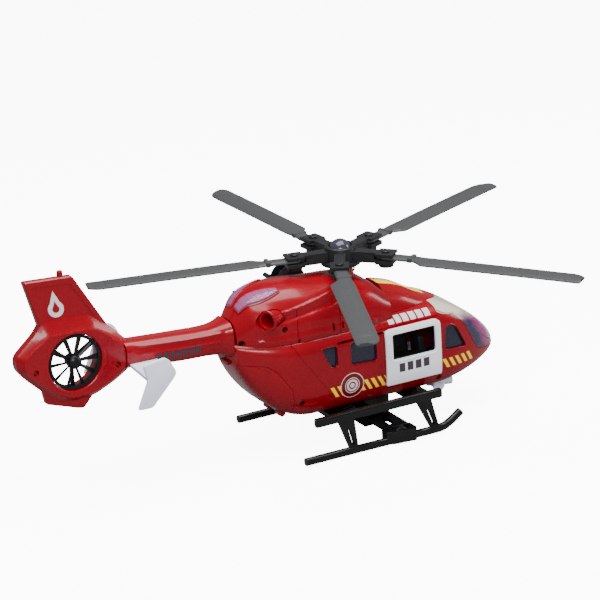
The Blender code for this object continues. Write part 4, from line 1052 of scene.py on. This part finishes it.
class Shade:
    """A plastic whose colour and roughness vary gently, with optional painted marks."""

    def __init__(self, name, colour, roughness, grain=0.05, bump=0.12, metallic=0.0, coat=0.0, shine=0.25):
        self.material = bpy.data.materials.new(name)
        self.material.use_nodes = True
        self.tree = self.material.node_tree
        self.shader = self.tree.nodes["Principled BSDF"]
        self.shader.inputs["Metallic"].default_value = metallic
        self.shader.inputs["Coat Weight"].default_value = coat
        self.shader.inputs["Coat Roughness"].default_value = 0.06
        self.shader.inputs["Specular IOR Level"].default_value = 0.5 if metallic else shine
        source = self.tree.nodes.new("ShaderNodeTexCoord")
        self.coordinates = source.outputs["Object"]
        self.normal = source.outputs["Normal"]
        mottle = self.noise(90, 4)
        fine = self.noise(900, 2)
        dark = tuple(channel * (1 - grain * 2.2) for channel in colour)
        light = tuple(min(1.0, channel * (1 + grain)) for channel in colour)
        self.colour = self.mix(mottle, dark, light)
        spread = self.times(self.minus(fine, 0.5), 0.16)
        self.roughness = self.plus(self.plus(spread, roughness), self.times(mottle, 0.06))
        bumps = self.tree.nodes.new("ShaderNodeBump")
        bumps.inputs["Strength"].default_value = bump
        bumps.inputs["Distance"].default_value = 0.0002
        self.tree.links.new(self.plus(fine, mottle), bumps.inputs["Height"])
        self.tree.links.new(bumps.outputs["Normal"], self.shader.inputs["Normal"])
        self.finish()

    def finish(self):
        self.tree.links.new(self.colour, self.shader.inputs["Base Color"])
        self.tree.links.new(self.roughness, self.shader.inputs["Roughness"])
        return self

    def noise(self, scale, detail):
        node = self.tree.nodes.new("ShaderNodeTexNoise")
        node.inputs["Scale"].default_value = scale
        node.inputs["Detail"].default_value = detail
        self.tree.links.new(self.coordinates, node.inputs["Vector"])
        return node.outputs["Fac"]

    def math(self, operation, *values):
        node = self.tree.nodes.new("ShaderNodeMath")
        node.operation = operation
        for socket, value in zip(node.inputs, values):
            if isinstance(value, (int, float)):
                socket.default_value = value
            else:
                self.tree.links.new(value, socket)
        return node.outputs[0]

    def plus(self, a, b):
        return self.math("ADD", a, b)

    def minus(self, a, b):
        return self.math("SUBTRACT", a, b)

    def times(self, a, b):
        return self.math("MULTIPLY", a, b)

    def less(self, a, b):
        return self.math("LESS_THAN", a, b)

    def more(self, a, b):
        return self.math("GREATER_THAN", a, b)

    def size(self, value):
        return self.math("ABSOLUTE", value)

    def reach(self, across, up):
        return self.math("SQRT", self.plus(self.times(across, across), self.times(up, up)))

    def mix(self, factor, first, second):
        node = self.tree.nodes.new("ShaderNodeMix")
        node.data_type = "RGBA"
        sockets = [socket for socket in node.inputs if socket.type == "RGBA"]
        self.tree.links.new(factor, node.inputs[0])
        for socket, value in zip(sockets, (first, second)):
            if isinstance(value, tuple):
                socket.default_value = (*value, 1.0)
            else:
                self.tree.links.new(value, socket)
        return next(socket for socket in node.outputs if socket.type == "RGBA")

    def axes(self):
        """Design coordinates in millimetres."""
        split = self.tree.nodes.new("ShaderNodeSeparateXYZ")
        self.tree.links.new(self.coordinates, split.inputs[0])
        return [
            self.times(self.minus(split.outputs[k], ORIGIN[k]), 1 / MM) for k in range(3)
        ]

    def within(self, value, low, high):
        return self.times(self.more(value, low), self.less(value, high))

    def outward(self, y):
        """Where a surface faces away from the middle plane."""
        split = self.tree.nodes.new("ShaderNodeSeparateXYZ")
        self.tree.links.new(self.normal, split.inputs[0])
        return self.more(self.times(split.outputs[1], y), 0.0)

    def every(self, *masks):
        total = masks[0]
        for mask in masks[1:]:
            total = self.times(total, mask)
        return total

    def ramp(self, value, start, end):
        """0 at start and 1 at end, whichever is larger."""
        node = self.tree.nodes.new("ShaderNodeMapRange")
        node.inputs["From Min"].default_value = start
        node.inputs["From Max"].default_value = end
        self.tree.links.new(value, node.inputs["Value"])
        return node.outputs["Result"]

    def stripes(self, value, start, pitch, duty):
        phase = self.math("FRACT", self.math("DIVIDE", self.minus(value, start), pitch))
        return self.less(phase, duty)

    def mark(self, mask, colour):
        self.colour = self.mix(mask, self.colour, colour)
        return self


def hull_paint():
    """Hazard slashes along the flanks, a roundel and a row of plain blocks over each door."""
    shade = Shade("red_hull", RED_COLOUR, 0.20, coat=0.12)
    x, y, z = shade.axes()
    flank = shade.every(shade.more(shade.size(y), 20), shade.outward(y))
    lean = shade.plus(x, shade.times(shade.minus(z, 48), 0.56))
    run = shade.stripes(lean, -33.6, SLASH_PITCH, 0.52)
    rear = shade.every(shade.within(lean, -33.7, 15.5), shade.within(z, 42.3, 51.3))
    front = shade.every(shade.within(lean, 68, 97), shade.within(z, 44.2, 52.2))
    shade.mark(shade.every(run, flank, shade.math("MAXIMUM", rear, front)), YELLOW)
    across = shade.minus(x, -15.7)
    up = shade.minus(z, 49.2)
    radius = shade.reach(across, up)
    shade.mark(shade.every(flank, shade.less(radius, 10.6)), (0.15, 0.0010, 0.0040))
    for low, high in ((9.9, 10.5), (6.0, 6.6), (0, 5.0)):
        shade.mark(shade.every(flank, shade.within(radius, low, high)), PALE_MARK)
    shade.mark(shade.every(flank, shade.within(radius, 2.0, 3.2)), RED_COLOUR)
    word = shade.every(
        flank, shade.within(z, 90.6, 95.2), shade.within(x, 21.6, 60.5), shade.stripes(x, 21.6, 6.6, 0.76)
    )
    shade.mark(word, PALE_MARK)
    return shade.finish().material


def crest_paint():
    """A yellow stripe along the fairing's crest."""
    shade = Shade("red_crest", RED_COLOUR, 0.20, coat=0.12)
    x, y, z = shade.axes()
    stripe = shade.every(shade.less(shade.size(y), 6.4), shade.less(x, 70))
    shade.mark(shade.every(stripe, shade.more(x, 28.5)), YELLOW)
    return shade.finish().material


def tail_paint():
    """A plain drop on the fin and a row of dark blocks on the boom."""
    shade = Shade("red_tail", RED_COLOUR, 0.20, coat=0.12)
    x, y, z = shade.axes()
    side = shade.more(shade.size(y), 2)
    across = shade.minus(x, -249.5)
    up = shade.minus(z, 154.5)
    lean = shade.minus(across, shade.times(up, -0.12))
    for size, colour in ((6.6, PALE_MARK), (3.0, RED_COLOUR)):
        radius = shade.reach(lean, up)
        ball = shade.less(radius, size)
        taper = shade.times(shade.minus(size * 2.3, up), 0.42)
        tip = shade.every(shade.less(shade.size(lean), taper), shade.within(up, size * 0.35, size * 2.3))
        drop = shade.math("MAXIMUM", ball, tip)
        shade.mark(shade.every(drop, side), colour)
    word = shade.every(
        shade.more(shade.size(y), 6), shade.within(z, 95.5, 102.5), shade.within(x, -171, -133),
        shade.stripes(x, -171, 5.6, 0.68),
    )
    shade.mark(word, DARK_MARK)
    return shade.finish().material


def door_paint():
    """A row of plain dark blocks under the door's window."""
    shade = Shade("white_door", (0.88, 0.89, 0.95), 0.30, grain=0.02, coat=0.2)
    x, y, z = shade.axes()
    outside = shade.more(shade.size(y), CABIN_HALF_WIDTH + 1.9)
    word = shade.every(
        outside, shade.within(z, 51.4, 58.6), shade.within(x, 26, 55), shade.stripes(x, 26, 7.4, 0.70)
    )
    shade.mark(word, DARK_MARK)
    return shade.finish().material


def windshield_paint():
    """Cream at the top and nose, a painted highlight, with a near-black band and a violet band along the rear
    edge as painted shade of the cabin and its violet dash behind the glass.
    """
    # The cream base colour is a painted highlight on the clear pane.
    shade = Shade("windshield_clear_and_painted_light", (0.60, 0.56, 0.47), 0.07, grain=0.05, bump=0.03, coat=0.4)
    x, y, z = shade.axes()
    along = shade.times(shade.minus(x, 84), 0.848)
    depth = shade.plus(along, shade.times(shade.minus(z, 83), 0.53))
    wave = shade.times(shade.minus(shade.noise(60, 2), 0.5), 10)
    depth = shade.plus(depth, wave)
    low = shade.ramp(z, 86, 76)
    # Painted shade: violet, then near-black, towards the lower rear edge, for the dash and the shaded cabin
    # behind the glass.
    shade.mark(shade.times(shade.ramp(depth, 21, 14), low), (0.30, 0.03, 0.17))
    shade.mark(shade.times(shade.ramp(depth, 12, 7), low), (0.030, 0.028, 0.065))
    shade.shader.inputs["Alpha"].default_value = 0.86
    return shade.finish().material


def seat_paint():
    """Black shells with pale cushions."""
    shade = Shade("seat_plastic", (0.012, 0.012, 0.015), 0.4, grain=0.1)
    x, y, z = shade.axes()
    shade.mark(shade.every(shade.less(z, 52), shade.more(x, 62)), (0.55, 0.47, 0.52))
    return shade.finish().material


def clear_plastic(name, tint, roughness, alpha):
    """A thin tinted clear plastic with faint flow marks."""
    shade = Shade(name, tint, roughness, grain=0.03, bump=0.04, coat=0.4)
    shade.shader.inputs["Alpha"].default_value = alpha
    shade.shader.inputs["IOR"].default_value = 1.5
    return shade.material


RED_COLOUR = (0.23, 0.0001, 0.0060)
YELLOW = (0.92, 0.66, 0.003)
PALE_MARK = (0.62, 0.60, 0.63)
DARK_MARK = (0.045, 0.035, 0.045)
RED = Shade("red_plastic", RED_COLOUR, 0.20, coat=0.12).material
RED_HULL = hull_paint()
RED_CREST = crest_paint()
RED_TAIL = tail_paint()
WHITE_DOOR = door_paint()
LILAC = Shade("lilac_plastic", (0.76, 0.80, 0.93), 0.30, grain=0.02, coat=0.2).material
BLACK = Shade("black_plastic", (0.005, 0.005, 0.006), 0.32, grain=0.2).material
GLOSS_BLACK = Shade("gloss_black_plastic", (0.004, 0.0045, 0.005), 0.20, grain=0.2, coat=0.15).material
HOIST_BLACK = Shade("hoist_plastic", (0.006, 0.008, 0.010), 0.16, grain=0.2, coat=0.25).material
SATIN = Shade("satin_black_plastic", (0.011, 0.0115, 0.013), 0.36, grain=0.15, bump=0.2).material
SATIN_LIGHT = Shade("screw_black", (0.015, 0.016, 0.018), 0.24, grain=0.15).material
# Dark smoked plastic; its blue-grey lift above the other blacks is a painted reflection, the bluish sheen of
# the glossy cap.
DOME = Shade("dome_plastic", (0.030, 0.030, 0.048), 0.10, grain=0.05, bump=0.03, coat=0.35).material
BLADE = Shade("blade_plastic", (0.042, 0.044, 0.045), 0.42, grain=0.06, bump=0.25).material
PALE = Shade("pale_plastic", (0.55, 0.53, 0.58), 0.45, grain=0.03).material
CABIN = Shade("cabin_plastic", (0.010, 0.010, 0.012), 0.5, grain=0.2).material
VIOLET = Shade("violet_plastic", (0.12, 0.010, 0.095), 0.22, grain=0.08, coat=0.4).material
BOARD = Shade("circuit_lacquer", (0.02, 0.16, 0.06), 0.3, grain=0.2).material
STEEL = Shade("steel", (0.42, 0.42, 0.44), 0.32, grain=0.08, metallic=1.0).material
CLEAR_AND_PAINTED_LIGHT = windshield_paint()
SEAT = seat_paint()
SMOKED = clear_plastic("smoked_pane", (0.014, 0.015, 0.032), 0.08, 0.90)
LENS = clear_plastic("lens_clear", (0.40, 0.13, 0.27), 0.10, 0.42)

make_hull()
make_windshield()
make_side_windows()
make_doors()
make_hatch()
make_cowling()
make_lenses()
make_fairing()
make_exhausts()
make_mast()
make_hub()
for blade_index in range(BLADES):
    make_blade(blade_index)
make_tail()
make_fan()
make_undercarriage()
make_hoist()
make_small_pieces()
paint_nodes()


# Camera, floor and light

def make_camera():
    position = place(*CAMERA_SPOT)
    target = place(*CAMERA_AIM)
    forward = (target - position).normalized()
    right = forward.cross(Vector((0, 0, 1))).normalized()
    up = right.cross(forward)
    roll = radians(CAMERA_ROLL)
    across = right * cos(roll) + up * sin(roll)
    upward = up * cos(roll) - right * sin(roll)
    data = bpy.data.cameras.new("camera")
    data.sensor_width = 36.0
    data.lens = 242.69
    data.shift_x = -0.0683
    data.shift_y = -0.0578
    data.clip_start = 0.1
    data.clip_end = 20.0
    camera = bpy.data.objects.new("camera", data)
    bpy.context.scene.collection.objects.link(camera)
    camera.matrix_world = Matrix.Translation(position) @ Matrix(
        (across, upward, -forward)
    ).transposed().to_4x4()
    bpy.context.scene.camera = camera


def make_floor():
    mesh = bpy.data.meshes.new("floor")
    size = 6.0
    mesh.from_pydata(
        [(-size, -size, 0), (size, -size, 0), (size, size, 0), (-size, size, 0)], [], [(0, 1, 2, 3)]
    )
    paper = Shade("floor_paper", (0.93, 0.93, 0.93), 0.9, grain=0.004, bump=0.0)
    path = paper.tree.nodes.new("ShaderNodeLightPath")
    paper.colour = paper.mix(path.outputs["Is Camera Ray"], (0.22, 0.22, 0.22), paper.colour)
    paper.finish()
    paper.shader.inputs["Emission Color"].default_value = (1, 1, 1, 1)
    glow = paper.times(path.outputs["Is Camera Ray"], FLOOR_GLOW)
    paper.tree.links.new(glow, paper.shader.inputs["Emission Strength"])
    floor = new_object("floor", mesh, paper.material)
    floor.location.z = cad_low.z


def make_light(name, spot, aim, size, watts, colour=(1, 1, 1)):
    data = bpy.data.lights.new(name, "AREA")
    data.shape = "RECTANGLE"
    data.size, data.size_y = size
    data.energy = watts
    data.color = colour
    light = bpy.data.objects.new(name, data)
    bpy.context.scene.collection.objects.link(light)
    light.location = spot
    light.rotation_mode = "QUATERNION"
    light.rotation_quaternion = (Vector(aim) - Vector(spot)).to_track_quat("-Z", "Y")


def make_world():
    world = bpy.data.worlds.new("studio")
    bpy.context.scene.world = world
    world.use_nodes = True
    background = world.node_tree.nodes["Background"]
    background.inputs["Color"].default_value = (1, 1, 1, 1)
    background.inputs["Strength"].default_value = 0.30


make_camera()
make_floor()
make_world()
make_light("top_softbox", (0.0, -0.1, 1.3), (0, 0, 0.08), (1.4, 1.0), 42)
make_light("front_softbox", (-0.7, -1.5, 0.9), (0, 0, 0.08), (1.0, 0.35), 24)
make_light("nose_softbox", (1.5, -0.6, 0.6), (0, 0, 0.08), (0.4, 0.8), 12)
